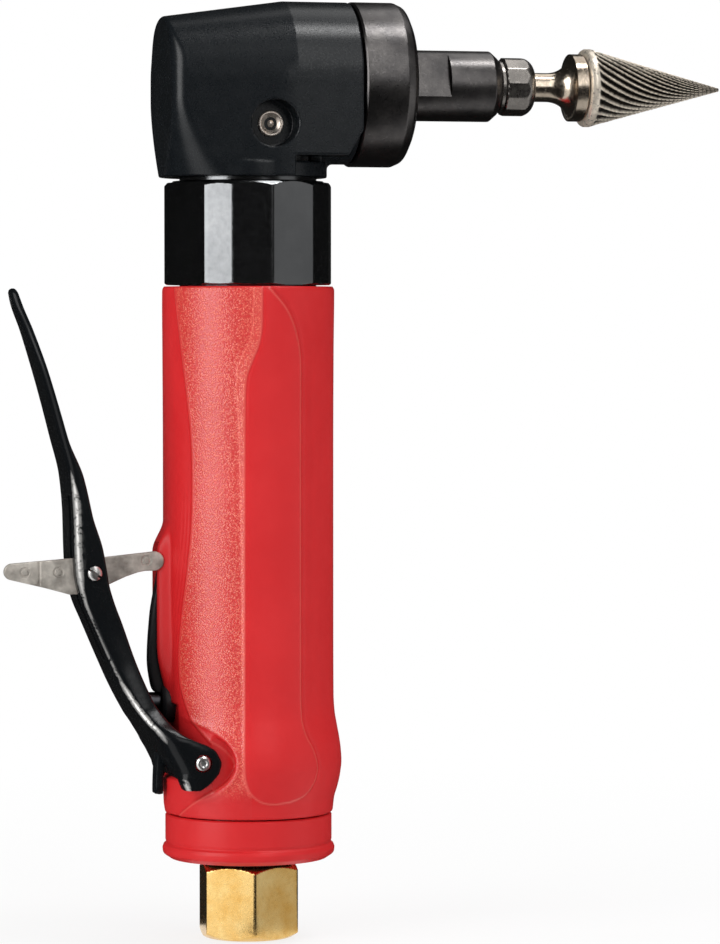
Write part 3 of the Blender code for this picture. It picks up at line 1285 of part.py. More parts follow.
def build():
    """Clear the scene and make the whole tool."""
    clear_scene()
    finish = make_materials()
    root = make_empty("tool_frame", None, (FRAME_X, 0.0, 0.0))
    rotor_axis = make_empty("rotor_axis", root, (0.0, 0.0, 0.0))
    spindle_axis = make_empty("spindle_axis", root, (0.0, 0.0, SPINDLE_Z))
    throttle_pivot = make_empty("throttle_pivot", root, (PIVOT_X, 0.0, PIVOT_Z))
    lock_place = (LOCK_X - PIVOT_X, 0.0, LOCK_Z - PIVOT_Z)
    lock_pivot = make_empty("lock_pivot", throttle_pivot, lock_place)
    valve_axis = make_empty("valve_axis", root, (0.0, 0.0, VALVE_Z))
    cages = {}
    for name in ("rotor_rear", "rotor_front", "pinion"):
        cages[name] = make_empty(name + "_cage_axis", root, (0.0, 0.0, 0.0))
    for name in ("spindle_rear", "spindle_front"):
        cages[name] = make_empty(name + "_cage_axis", root, (0.0, 0.0, SPINDLE_Z))
    add_inlet(root, finish)
    add_exhaust_cap(root, finish)
    housing = add_valve_housing(root, finish)
    sleeve = add_grip(root, finish)
    add_lever_pin(root, finish, housing, sleeve)
    add_guide_rib(root, finish)
    add_valve(root, valve_axis, finish)
    add_throttle(throttle_pivot, finish)
    add_lock_lever(lock_pivot, finish)
    add_motor_case(root, finish)
    add_rotor(rotor_axis, finish)
    add_pinion(rotor_axis, finish)
    add_coupling_collar(root, finish)
    add_head(root, finish)
    add_output_collar(root, finish)
    add_spindle(spindle_axis, finish)
    add_bevel_gear(spindle_axis, finish)
    add_collet(spindle_axis, finish)
    add_burr(spindle_axis, finish)
    add_bearings(root, rotor_axis, spindle_axis, cages, finish)


build()
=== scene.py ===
"""Looks of the right-angle air die grinder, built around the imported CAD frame.

Shapes are written in millimetres from the foot of the handle's axis. They are moved into
the frame and scaled to metres when a piece is made. Places come from the boxes of the
CAD nodes.
"""
import math
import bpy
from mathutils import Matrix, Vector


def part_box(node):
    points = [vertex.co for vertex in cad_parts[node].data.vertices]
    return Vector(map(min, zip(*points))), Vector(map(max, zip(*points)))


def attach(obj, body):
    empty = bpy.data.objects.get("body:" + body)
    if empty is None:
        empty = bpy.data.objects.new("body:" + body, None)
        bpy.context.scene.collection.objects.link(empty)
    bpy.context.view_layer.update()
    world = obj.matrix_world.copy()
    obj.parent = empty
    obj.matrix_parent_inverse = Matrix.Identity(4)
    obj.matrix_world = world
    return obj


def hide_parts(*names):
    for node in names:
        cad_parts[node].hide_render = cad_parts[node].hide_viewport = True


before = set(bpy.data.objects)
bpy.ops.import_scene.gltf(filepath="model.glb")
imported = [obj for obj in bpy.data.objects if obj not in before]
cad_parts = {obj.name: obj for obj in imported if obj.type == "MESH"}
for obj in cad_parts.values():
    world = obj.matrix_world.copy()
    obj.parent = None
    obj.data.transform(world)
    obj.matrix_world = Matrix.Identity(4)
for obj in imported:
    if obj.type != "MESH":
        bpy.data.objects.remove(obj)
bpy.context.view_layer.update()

from types import SimpleNamespace

import bmesh
import bpy
import numpy as np
from mathutils import Vector
from mathutils.kdtree import KDTree

MM = 0.001
FULL_TURN = 2 * math.pi


# ---- places


cap_low, cap_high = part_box("exhaust_end_cap")
AXIS = np.array(((cap_low[0] + cap_high[0]) / 2 / MM, 0.0, 0.0))


def corners(node):
    """Lowest and highest corner of a CAD node."""
    return [np.array(corner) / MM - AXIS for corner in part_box(node)]


def middle_of(node):
    """The middle of a CAD node's box."""
    low, high = corners(node)
    return (low + high) / 2


def half_of(node):
    """Half the size of a CAD node's box along each axis."""
    low, high = corners(node)
    return (high - low) / 2


def along(node):
    """Where a turned CAD node that lies along X starts and ends, and its radius."""
    low, high = corners(node)
    return low[0], high[0], (high[2] - low[2]) / 2


SPINDLE_Z = middle_of("spindle")[2]
PIVOT_X, _, PIVOT_Z = middle_of("lever_pivot_pin")
LOCK_X, _, LOCK_Z = middle_of("lock_pin")
FITTING_X, _, FITTING_Z = middle_of("grease_fitting")
VALVE_Z = middle_of("valve_plunger")[2]
AT_SPINDLE = (0.0, 0.0, SPINDLE_Z)
AT_VALVE = (0.0, 0.0, VALVE_Z)
AT_PIVOT = (PIVOT_X, 0.0, PIVOT_Z)
AT_LOCK = (LOCK_X, 0.0, LOCK_Z)
HEAD_LOW, HEAD_HIGH = corners("head_housing")
RIB_LOW, RIB_HIGH = corners("guide_rib")


# ---- shape tools


def smax(a, b, radius):
    """The larger of two distances, its outer corner rounded to a radius."""
    over = np.hypot(np.maximum(a + radius, 0.0), np.maximum(b + radius, 0.0))
    return np.minimum(-radius, np.maximum(a, b)) + over


def smin(a, b, radius):
    """The smaller of two distances, its inner corner filled to a radius."""
    return -smax(-a, -b, radius)


def ramp(none, full, value):
    """A smooth step from 0 at one value to 1 at another, which may be the lower one."""
    share = np.clip((value - none) / (full - none), 0.0, 1.0)
    return share * share * (3.0 - 2.0 * share)


def bell(value, width):
    """A smooth bump, 1 high where a value is zero."""
    return np.exp(-((value / width) ** 2))


def mixed(first, last, share):
    """A value between two."""
    return first + (last - first) * share


def cubic(t, first, last, leaving, arriving):
    """Points of a cubic between two ends, from the slope at each."""
    start = (1 + 2 * t) * (1 - t) ** 2 * first + t * (1 - t) ** 2 * leaving
    return start + (t * t * (3 - 2 * t) * last + t * t * (t - 1) * arriving)


def eased(at, table):
    """Columns of a table read at values of its first column, along curves that don't overshoot."""
    at = np.atleast_1d(at)
    table = np.array(table, float)
    x, y = table[:, 0], table[:, 1:]
    step = np.diff(x)[:, None]
    slope = np.diff(y, axis=0) / step
    total = slope[:-1] + slope[1:]
    product = slope[:-1] * slope[1:]
    tangent = np.zeros_like(y)
    tangent[1:-1] = np.where(product > 0, 2 * product / np.where(total == 0, 1.0, total), 0.0)
    tangent[0], tangent[-1] = slope[0], slope[-1]
    index = np.clip(np.searchsorted(x, at, "right") - 1, 0, len(x) - 2)
    width = step[index]
    t = np.clip((at - x[index])[:, None] / width, 0.0, 1.0)
    return cubic(t, y[index], y[index + 1], width * tangent[index], width * tangent[index + 1])


def curved(points, steps=6):
    """Points along a smooth curve through the given ones."""
    points = np.array(points, float)
    before = np.vstack([2 * points[0] - points[1], points[:-1]])
    after = np.vstack([points[1:], 2 * points[-1] - points[-2]])
    slope = (after - before) / 2
    t = np.linspace(0.0, 1.0, steps, endpoint=False)[:, None]
    ends = zip(points[:-1], points[1:], slope[:-1], slope[1:])
    return np.vstack([cubic(t, *spots) for spots in ends] + [points[-1:]])


def outline_distance(across, up, outline):
    """Signed distance to a closed outline in a plane, negative inside it."""
    outline = np.array(outline, float)
    nearest = np.full(np.shape(across), np.inf)
    inside = np.zeros(np.shape(across), bool)
    for (ax, ay), (bx, by) in zip(outline, np.roll(outline, -1, axis=0)):
        px, py = across - ax, up - ay
        ex, ey = bx - ax, by - ay
        share = np.clip((px * ex + py * ey) / (ex * ex + ey * ey), 0.0, 1.0)
        nearest = np.minimum(nearest, np.hypot(px - share * ex, py - share * ey))
        crosses = (ay > up) != (by > up)
        beside = across < ax + (up - ay) * ex / (ey if ey else 1.0)
        inside ^= crosses & beside
    return np.where(inside, -nearest, nearest)


def arc(centre, radius, start, end, count):
    """Points along an arc, with angles in degrees."""
    turn = np.radians(np.linspace(start, end, count))
    return [(centre[0] + radius * math.cos(a), centre[1] + radius * math.sin(a)) for a in turn]


STRAIGHT = 1.5
CORNER_STEPS = 4


def rounded(before, here, after, radius):
    """Points that round one corner of a profile."""
    back, on = before - here, after - here
    back_length, on_length = np.linalg.norm(back), np.linalg.norm(on)
    back, on = back / back_length, on / on_length
    half = math.acos(np.clip(back @ on, -1.0, 1.0)) / 2
    if radius <= 0 or half > STRAIGHT:
        return [here]
    reach = min(radius / math.tan(half), 0.45 * back_length, 0.45 * on_length)
    middle = (back + on) / np.linalg.norm(back + on) * reach / math.cos(half)
    first, last = back * reach - middle, on * reach - middle
    spread = math.pi - 2 * half
    points = []
    for share in np.arange(CORNER_STEPS + 1) / CORNER_STEPS:
        mix = math.sin((1 - share) * spread) * first + math.sin(share * spread) * last
        points.append(here + middle + mix / math.sin(spread))
    return points


def softened(profile, default=0.15):
    """A profile whose corners are rounded; a third number sets one corner's own radius."""
    flat = [np.array(corner[:2], float) for corner in profile]
    points = [flat[0]]
    for index in range(1, len(flat) - 1):
        radius = profile[index][2] if len(profile[index]) > 2 else default
        points += rounded(*flat[index - 1 : index + 2], radius)
    return points + [flat[-1]]


def skin(rows, closed=False):
    """Points and faces of a surface whose rows of points run round it.

    A closed surface joins its last row to its first, and an open one ends in poles.
    """
    rows = np.array(rows, float)
    count, columns = rows.shape[:2]
    index = np.arange(count * columns).reshape(count, columns)
    if closed:
        index = np.vstack([index, index[:1]])
    after = np.roll(index, -1, axis=1)
    faces = np.stack([index[:-1], after[:-1], after[1:], index[1:]], axis=-1).reshape(-1, 4)
    return rows.reshape(-1, 3), faces.tolist()


def capped(rows):
    """A skin whose first and last rows are closed by a flat face."""
    points, faces = skin(rows)
    count = len(rows[0])
    last = len(points) - count
    return points, faces + [list(range(count)), list(range(last, last + count))]


def around(count):
    """Evenly spread angles of one turn."""
    return FULL_TURN * np.arange(count) / count


def rings(profile, angles):
    """A row of points for each (radius, height); radius may differ from point to point."""
    sin, cos, level = np.sin(angles), np.cos(angles), np.ones(len(angles))
    return [np.stack([radius * cos, radius * sin, height * level], axis=-1) for radius, height in profile]


def turned(profile, steps, closed=False):
    """Points and faces of a profile of (radius, height) spun round the Z axis."""
    return skin(rings(profile, around(steps)), closed)


def rod(radius, start, end, steps):
    """A plain cylinder."""
    return turned([(0.0, start), (radius, start), (radius, end), (0.0, end)], steps)


def lay(shape, axis, centre):
    """Turn a shape's own Z axis to X or Y and move it to its centre."""
    points, faces = shape
    roll = {"X": 1, "Y": 2, "Z": 0}[axis]
    return np.roll(points, roll, axis=1) + np.array(centre), faces


def tilted(shape, angle, first, second):
    """Turn a shape in the plane of two of its axes."""
    points, faces = shape
    turn = np.eye(3)
    turn[first, first] = turn[second, second] = math.cos(angle)
    turn[second, first] = math.sin(angle)
    turn[first, second] = -math.sin(angle)
    return points @ turn.T, faces


CUBE = np.array([(i, j, k) for i in (0, 1) for j in (0, 1) for k in (0, 1)])
CUBE_FACES = [[0, 1, 3, 2], [4, 6, 7, 5], [0, 4, 5, 1], [2, 3, 7, 6], [0, 2, 6, 4], [1, 5, 7, 3]]
CUBE_EDGES = [(a, b) for a in range(8) for b in range(a + 1, 8) if abs(CUBE[a] - CUBE[b]).sum() == 1]


def box_shape(low, high):
    """Points and faces of a box."""
    return np.array(low) + CUBE * (np.array(high) - low), CUBE_FACES


def gathered(shapes):
    """Several shapes as one list of points and faces."""
    points, faces, start = [], [], 0
    for shape_points, shape_faces in shapes:
        points.append(shape_points)
        faces += [[start + corner for corner in face] for face in shape_faces]
        start += len(shape_points)
    return np.vstack(points), faces


SLOPE_REACH = 0.02
NEWTON_STEPS = 3


def slope_of(field, points):
    """Gradient of a field at each point."""
    slope = np.empty_like(points)
    for axis in range(3):
        step = np.zeros(3)
        step[axis] = SLOPE_REACH
        slope[:, axis] = (field(*(points + step).T) - field(*(points - step).T)) / (2 * SLOPE_REACH)
    return slope


def cell_points(value, cells):
    """The middle of a field's zero crossings in each cell of a grid."""
    at = [value[tuple((cells + corner).T)] for corner in CUBE]
    total = np.zeros((len(cells), 3))
    crossings = np.zeros((len(cells), 1))
    for a, b in CUBE_EDGES:
        crossed = ((at[a] < 0) != (at[b] < 0))[:, None]
        share = (at[a] / np.where(at[a] == at[b], 1.0, at[a] - at[b]))[:, None]
        total += np.where(crossed, CUBE[a] + share * (CUBE[b] - CUBE[a]), 0.0)
        crossings += crossed
    return cells + total / crossings


def cell_faces(solid, number):
    """Faces that join the points of the four cells round each grid edge that crosses the surface."""
    faces = []
    for axis in range(3):
        one, two = np.roll(np.eye(3, dtype=int), -axis - 1, axis=0)[:2]
        before = np.take(solid, range(solid.shape[axis] - 1), axis)
        after = np.take(solid, range(1, solid.shape[axis]), axis)
        for leaving in (True, False):
            spots = np.argwhere((before == leaving) & (after != leaving))
            round_edge = [spots, spots - one, spots - one - two, spots - two]
            quads = np.stack([number[tuple(spot.T)] for spot in round_edge], axis=-1)
            faces.append(quads if leaving else quads[:, ::-1])
    return np.vstack(faces).tolist()


def implicit(field, node, margin, cell):
    """Points, faces and normals of the zero surface of a field of distances, round a CAD node."""
    low, high = corners(node)
    low, high = low - margin, high + margin
    shape = np.ceil((high - low) / cell).astype(int) + 1
    axes = [low[i] + cell * np.arange(shape[i]) for i in range(3)]
    value = field(*np.meshgrid(*axes, indexing="ij"))
    solid = value < 0
    last = shape - 1
    full = np.zeros(last, np.int8)
    for i, j, k in CUBE:
        full += solid[i : last[0] + i, j : last[1] + j, k : last[2] + k]
    mixed_cells = (full > 0) & (full < 8)
    cells = np.argwhere(mixed_cells)
    number = np.full(mixed_cells.shape, -1)
    number[mixed_cells] = np.arange(len(cells))
    points = low + cell * cell_points(value, cells)
    for _ in range(NEWTON_STEPS):
        slope = slope_of(field, points)
        size = np.maximum((slope * slope).sum(axis=1), 0.1)
        move = (field(*points.T) / size)[:, None] * slope
        points -= np.clip(move, -cell / 2, cell / 2)
    normals = slope_of(field, points)
    normals /= np.linalg.norm(normals, axis=1)[:, None]
    return points, cell_faces(solid, number), normals


# ---- finishes


def add_node(tree, kind, *sources, **settings):
    """A shader node: its first inputs linked to sources, its others and its properties set by name."""
    node = tree.nodes.new(kind)
    for name, value in settings.items():
        label = name.replace("_", " ").title()
        if label in node.inputs:
            node.inputs[label].default_value = value
        else:
            setattr(node, name, value)
    for index, source in enumerate(sources):
        tree.links.new(source, node.inputs[index])
    return node


def feed(tree, node, **sources):
    """Link a node's inputs, by name."""
    for name, source in sources.items():
        tree.links.new(source, node.inputs[name.replace("_", " ").title()])


def combine(tree, operation, first, second):
    """Two values put together by a maths operation."""
    return add_node(tree, "ShaderNodeMath", first, second, operation=operation).outputs[0]


def own_space(tree):
    """A place in the object's own space."""
    return add_node(tree, "ShaderNodeTexCoord").outputs["Object"]


def mark(tree, label):
    """A number kept on the mesh."""
    return add_node(tree, "ShaderNodeAttribute", attribute_name=label).outputs["Fac"]


def grain(tree, scale, detail=3.0, roughness=0.55):
    """Noise; scale is in features per metre."""
    where = own_space(tree)
    noise = add_node(tree, "ShaderNodeTexNoise", where, scale=scale, detail=detail, roughness=roughness)
    return noise.outputs["Fac"]


def levels(tree, value, low, high, first, last):
    """Remap a value from one range to another, held at its ends."""
    node = add_node(tree, "ShaderNodeMapRange", value, from_min=low, from_max=high, to_min=first, to_max=last)
    return node.outputs["Result"]


def dotted(tree, scale):
    """Small round spots of uneven height, from 0 between them to 1 at their middles."""
    cells = add_node(tree, "ShaderNodeTexVoronoi", own_space(tree), feature="F1", scale=scale)
    spots = levels(tree, cells.outputs["Distance"], 0.05, 0.72, 1.0, 0.0)
    uneven = levels(tree, grain(tree, 0.45 * scale, 2.0), 0.34, 0.58, 0.5, 1.0)
    return combine(tree, "MULTIPLY", spots, uneven)


def blend(tree, value, first, last, low, high):
    """A colour between two, by a value's place between low and high."""
    node = add_node(tree, "ShaderNodeValToRGB", value)
    ends = node.color_ramp.elements
    ends[0].position, ends[1].position = low, high
    ends[0].color, ends[1].color = (*first, 1.0), (*last, 1.0)
    return node.outputs["Color"]


def brightened(tree, colour, value, pale, low, high):
    """A colour with a pale one added, by a value's place between low and high."""
    added = blend(tree, value, (0.0, 0.0, 0.0), pale, low, high)
    mix = add_node(tree, "ShaderNodeMix", data_type="RGBA", blend_type="ADD")
    mix.inputs["Factor"].default_value = 1.0
    tree.links.new(colour, mix.inputs[6])
    tree.links.new(added, mix.inputs[7])
    return mix.outputs[2]


def relief(tree, value, height, under=None):
    """A bump of a height in metres, over another bump if one is given."""
    node = add_node(tree, "ShaderNodeBump", distance=height)
    feed(tree, node, height=value)
    if under is not None:
        feed(tree, node, normal=under)
    return node.outputs["Normal"]


def begin_finish(name, metallic, specular):
    """A new Principled material, its tree and its shader."""
    material = bpy.data.materials.new(name)
    material.use_nodes = True
    shader = material.node_tree.nodes["Principled BSDF"]
    shader.inputs["Metallic"].default_value = metallic
    shader.inputs["Specular IOR Level"].default_value = specular
    return material, material.node_tree, shader


def speckled(name, dark, light, rough, metallic=0.0, bump=4e-6, scale=900.0, specular=0.5):
    """A finish with soft cloudy colour, uneven gloss and a fine surface grain."""
    material, tree, shader = begin_finish(name, metallic, specular)
    colour = blend(tree, grain(tree, scale * 0.12), dark, light, 0.3, 0.7)
    fine = grain(tree, scale, 4.0, 0.6)
    gloss = levels(tree, fine, 0.3, 0.7, *rough)
    feed(tree, shader, base_color=colour, roughness=gloss, normal=relief(tree, fine, bump))
    return material


def red_plastic(name, textured):
    """Satin red moulding; it may have a spark-eroded texture where the mask is 1."""
    material, tree, shader = begin_finish(name, 0.0, 0.32)
    colour = blend(tree, grain(tree, 60.0), (0.63, 0.015, 0.018), (0.69, 0.021, 0.024), 0.3, 0.7)
    smooth = grain(tree, 700.0)
    bump = relief(tree, smooth, 6e-6)
    if textured:
        colour, bump = eroded(tree, shader, colour, bump)
    gloss = levels(tree, smooth, 0.3, 0.7, 0.34, 0.42)
    feed(tree, shader, base_color=colour, roughness=gloss, normal=bump)
    return material


def eroded(tree, shader, colour, bump):
    """Colour and bump of the spark-eroded texture; the pale warm colour in its pits is partly the texture's
    lighter tone and partly a painted sheen, and its edges get a painted highlight.
    """
    mask = mark(tree, "finish_and_painted_light_mask")
    edges = mark(tree, "painted_edge_highlight")
    pits = combine(tree, "MULTIPLY", dotted(tree, 2900.0), mask)
    # Painted sheen: pale warm colour in the pits and the textured zone, partly the texture's own lighter tone.
    colour = brightened(tree, colour, pits, (0.25, 0.165, 0.09), 0.18, 0.85)
    colour = brightened(tree, colour, mask, (0.018, 0.010, 0.004), 0.2, 1.0)
    # Painted highlight: pale colour along the panel's bevel and edges, the lip and the pocket rim.
    colour = brightened(tree, colour, edges, (0.15, 0.085, 0.06), 0.2, 1.0)
    bump = relief(tree, pits, 6e-5, bump)
    shader.inputs["Coat Roughness"].default_value = 0.30
    shader.inputs["Coat IOR"].default_value = 1.64
    tree.links.new(combine(tree, "MAXIMUM", mask, edges), shader.inputs["Coat Weight"])
    tree.links.new(bump, shader.inputs["Coat Normal"])
    return colour, bump


def paint_wear_and_highlight(name):
    """Glossy black paint with bright bare-metal colour where the mask is 1: partly paint wear, partly a
    painted highlight along the bends.
    """
    material, tree, shader = begin_finish(name, 0.0, 0.22)
    blotches = levels(tree, grain(tree, 900.0, 3.0, 0.65), 0.32, 0.50, 0.25, 1.0)
    bare_and_highlit = combine(tree, "MULTIPLY", mark(tree, "finish_and_painted_light_mask"), blotches)
    fine = grain(tree, 1600.0)
    # Painted highlight: the bright metal colour sits where the bends catch the light.
    colour = blend(tree, bare_and_highlit, (0.005, 0.006, 0.007), (0.64, 0.63, 0.61), 0.15, 0.85)
    metal = levels(tree, bare_and_highlit, 0.3, 0.8, 0.0, 0.8)
    gloss = levels(tree, fine, 0.3, 0.7, 0.16, 0.28)
    gloss = combine(tree, "ADD", gloss, levels(tree, bare_and_highlit, 0.2, 0.8, 0.0, 0.16))
    bump = relief(tree, fine, 8e-6)
    feed(tree, shader, base_color=colour, metallic=metal, roughness=gloss, normal=bump)
    return material


def carbide_painted_light(name):
    """Ground carbide with painted light: a painted highlight on the tooth crests and painted shade in the
    gullets, told apart by the mask.
    """
    material, tree, shader = begin_finish(name, 0.65, 0.5)
    patches = grain(tree, 1100.0, 4.0, 0.6)
    lit = combine(tree, "MULTIPLY", mark(tree, "finish_and_painted_light_mask"), levels(tree, patches, 0.3, 0.6, 0.55, 1.0))
    # Painted shade in the gullets, painted highlight on the crests.
    colour = blend(tree, lit, (0.018, 0.014, 0.011), (0.98, 0.88, 0.74), 0.10, 0.52)
    gloss = levels(tree, patches, 0.3, 0.7, 0.24, 0.44)
    feed(tree, shader, base_color=colour, roughness=gloss, normal=relief(tree, patches, 1.2e-5))
    return material


# Dark and light colour, roughness range, metallic, bump height, grain per metre, specular level.
SPECKLED = {
    "head_black": ((0.005, 0.007, 0.009), (0.008, 0.010, 0.012), (0.24, 0.36), 0.0, 6e-6, 2400.0, 0.42),
    "oxide_black": ((0.105, 0.100, 0.100), (0.175, 0.165, 0.160), (0.26, 0.40), 1.0, 8e-6, 2400.0),
    "collar_black": ((0.17, 0.175, 0.18), (0.21, 0.215, 0.22), (0.14, 0.22), 1.0, 2e-6),
    "black_plastic": ((0.010, 0.010, 0.012), (0.018, 0.018, 0.020), (0.4, 0.55)),
    "dark_steel": ((0.10, 0.10, 0.11), (0.16, 0.16, 0.17), (0.3, 0.42), 1.0),
    "nut_steel": ((0.24, 0.225, 0.21), (0.42, 0.39, 0.36), (0.22, 0.36), 1.0, 1.6e-5),
    "steel": ((0.50, 0.49, 0.47), (0.60, 0.59, 0.57), (0.28, 0.4), 1.0),
    "bright_steel": ((0.66, 0.64, 0.60), (0.78, 0.76, 0.72), (0.12, 0.2), 1.0, 2e-6),
    "nipple_steel": ((0.90, 0.77, 0.66), (0.98, 0.90, 0.82), (0.24, 0.34), 0.85, 2e-6),
    "pin_steel": ((0.80, 0.79, 0.77), (0.92, 0.91, 0.89), (0.30, 0.42), 1.0, 6e-6, 2400.0),
    "lock_steel": ((0.28, 0.255, 0.225), (0.74, 0.69, 0.62), (0.34, 0.50), 0.35, 4e-5, 2600.0),
    "burr_steel": ((0.38, 0.31, 0.24), (0.78, 0.67, 0.54), (0.14, 0.28), 1.0, 1.4e-5, 1400.0),
    "brass": ((0.80, 0.46, 0.12), (0.95, 0.68, 0.28), (0.18, 0.30), 1.0, 1.2e-5, 1500.0),
    "alloy": ((0.52, 0.53, 0.54), (0.62, 0.63, 0.64), (0.35, 0.5), 1.0),
    "rubber": ((0.015, 0.015, 0.015), (0.024, 0.024, 0.024), (0.6, 0.75)),
    "felt": ((0.42, 0.40, 0.36), (0.56, 0.54, 0.49), (0.9, 0.98), 0.0, 1.5e-4, 2500.0),
    "vane_resin": ((0.24, 0.13, 0.06), (0.34, 0.20, 0.10), (0.5, 0.65)),
}
FINISH = {name: speckled(name, *look) for name, look in SPECKLED.items()}
FINISH["black_paint"] = FINISH["head_black"]
FINISH["grip_red"] = red_plastic("grip_red", True)
FINISH["red_plastic"] = red_plastic("cap_red", False)
FINISH["lever_black"] = paint_wear_and_highlight("lever_black")
FINISH["carbide"] = carbide_painted_light("carbide")


def dress_frame():
    """Give every CAD node that stays the procedural finish of its slot."""
    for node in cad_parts.values():
        for place in node.material_slots:
            slot = place.material.name.split(".")[0]
            place.material = FINISH.get(slot, FINISH["steel"])


# ---- making pieces


HANDLE = "handle_and_head"
LEVER_BODY = "throttle"
OUTPUT = "output_spindle"
# Each piece's body, slot and finish, and the CAD node that it stands for.
PIECES = {
    "angle_head": (HANDLE, "black_paint", "black_paint", "head_housing"),
    "grease_nipple": (HANDLE, "bright_steel", "nipple_steel", "grease_fitting"),
    "bearing_cap": (HANDLE, "black_paint", "oxide_black", "output_collar"),
    "wrench_collar": (HANDLE, "black_paint", "collar_black", "coupling_collar"),
    "grip": (HANDLE, "red_plastic", "grip_red", "grip_sleeve"),
    "back_rib": (HANDLE, "black_plastic", "black_plastic", "guide_rib"),
    "button_bezel": (HANDLE, "black_plastic", "black_plastic", "guide_rib"),
    "exhaust_cap": (HANDLE, "red_plastic", "red_plastic", "exhaust_end_cap"),
    "inlet_hexagon": (HANDLE, "brass", "brass", "inlet_bushing"),
    "squeeze_lever": (LEVER_BODY, "black_paint", "lever_black", "throttle_lever"),
    "lever_toe": (LEVER_BODY, "black_paint", "black_paint", "throttle_lever"),
    "pivot_pin": (HANDLE, "bright_steel", "pin_steel", "lever_pivot_pin"),
    "lock_rivet": (LEVER_BODY, "bright_steel", "pin_steel", "lock_pin"),
    "lock_coil": (LEVER_BODY, "bright_steel", "bright_steel", "lock_spring"),
    "lock_plate": ("lock_off_plate", "steel", "lock_steel", "lock_lever"),
    "spindle_nose": (OUTPUT, "dark_steel", "oxide_black", "spindle"),
    "nose_nut": (OUTPUT, "steel", "nut_steel", "collet_nut"),
    "burr_stem": (OUTPUT, "bright_steel", "burr_steel", "burr_shank"),
    "burr_cone": (OUTPUT, "carbide", "carbide", "burr_head"),
    "valve_button": ("throttle_valve", "steel", "dark_steel", "valve_plunger"),
}


def new_object(name, data):
    """Link a mesh, a lamp or a camera into the scene as an object."""
    item = bpy.data.objects.new(name, data)
    bpy.context.scene.collection.objects.link(item)
    return item


def new_mesh(name, points, faces):
    """A mesh in the frame, from points and faces in millimetres."""
    mesh = bpy.data.meshes.new(name)
    mesh.from_pydata(((points + AXIS) * MM).tolist(), [], faces)
    return mesh


def clean_mesh(name, shape):
    """A closed mesh whose doubled points are merged and whose faces all look outwards."""
    mesh = new_mesh(name, *shape)
    work = bmesh.new()
    work.from_mesh(mesh)
    bmesh.ops.remove_doubles(work, verts=work.verts, dist=1e-7)
    bmesh.ops.recalc_face_normals(work, faces=work.faces)
    work.to_mesh(mesh)
    work.free()
    return mesh


def smooth_shading(mesh, sharp):
    """Shade a mesh smooth but for edges sharper than an angle."""
    mesh.shade_smooth()
    mesh.set_sharp_from_angle(angle=math.radians(sharp))


def carve(item, cutter, sharp):
    """Cut a shape out of an object and keep the result as its mesh."""
    tool = new_object(item.name + "_cutter", clean_mesh(item.name + "_cutter", cutter))
    modifier = item.modifiers.new("carve", "BOOLEAN")
    modifier.operation = "DIFFERENCE"
    modifier.solver = "EXACT"
    modifier.object = tool
    bpy.context.view_layer.update()
    result = bpy.data.meshes.new_from_object(item.evaluated_get(bpy.context.evaluated_depsgraph_get()))
    item.modifiers.clear()
    item.data = result
    smooth_shading(result, sharp)
    bpy.data.objects.remove(tool)


def make_piece(name, shape, sharp=32.0, cuts=(), marks=None):
    """One visible piece: its mesh, finish and body, and the CAD node that it stands for.

    Marks are numbers on the mesh that its finish reads, by name.
    """
    body, slot, finish, node = PIECES[name]
    if len(shape) > 2:
        mesh = new_mesh(name, *shape[:2])
        mesh.shade_smooth()
        mesh.normals_split_custom_set_from_vertices(shape[2].tolist())
    else:
        mesh = clean_mesh(name, shape)
        smooth_shading(mesh, sharp)
    mesh.materials.append(FINISH[finish])
    for label, values in (marks or {}).items():
        layer = mesh.attributes.new(label, "FLOAT", "POINT")
        layer.data.foreach_set("value", values(mesh) if callable(values) else values)
    item = new_object(name, mesh)
    for cut in cuts:
        carve(item, cut, sharp)
    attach(item, body)
    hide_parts(node)


# ---- head


HEAD_CELL = 0.36
HEAD_MARGIN = 0.9
HEAD_BACK = -18.1
HEAD_FLANK = 16.5
HEAD_ROOF = 16.8
HEAD_FRONT = 20.5
HEAD_DRAFT = 0.13
PLATE_FOOT = -15.1
PLATE_STEP_X = 6.3
FOOT_RADIUS = 16.1
FOOT_TOP = -16.2
BARREL_RADIUS = 16.4
GROOVE_FOOT = -9.9
SLANT = (0.859, -0.512)
RECESS_RADIUS = 4.75
RECESS_FLOOR = 11.3
ROOF_DRAFT = 0.14
FOOT_SHOULDER = -10.0
FOOT_HALF = 9.0
# Radius, middle and half-length of the rear bearing's seat and the gear cavity along the spindle.
BORES = ((8.3, -12.0, 2.8), (10.4, 5.9, 15.1))
MOUTH_RADIUS = 13.3
MOUTH_START = 12.1
WELL_RADIUS = 14.3
WELL_TOP = -14.3
SHAFT_BORE = 9.0


def head_block(x, y, up):
    """The outer casting: arched roof, drafted flanks and a back whose corners open out below."""
    side = np.abs(y)
    crease = 3.4 + 0.29 * up
    flank = side - HEAD_FLANK + HEAD_DRAFT * np.maximum(crease - x, 0.0)
    reach = np.where(up > 0, np.hypot(side, up), side)
    roof = reach - HEAD_ROOF + ROOF_DRAFT * np.maximum(6.8 - x, 0.0)
    body = smax(flank, roof, 0.3)
    below = np.maximum(-3.7 - up, 0.0)
    corner = 2.7 + 0.117 * below**1.6 - 2.1 * ramp(4.0, 12.5, up)
    body = smax(body, HEAD_BACK - x, corner)
    body = smax(body, x - HEAD_FRONT, 0.35)
    body = smax(body, SLANT[0] * (x - HEAD_FRONT) + SLANT[1] * (up - GROOVE_FOOT), 0.3)
    return smax(body, smin(x - PLATE_STEP_X, PLATE_FOOT - up, 0.3), 0.25)


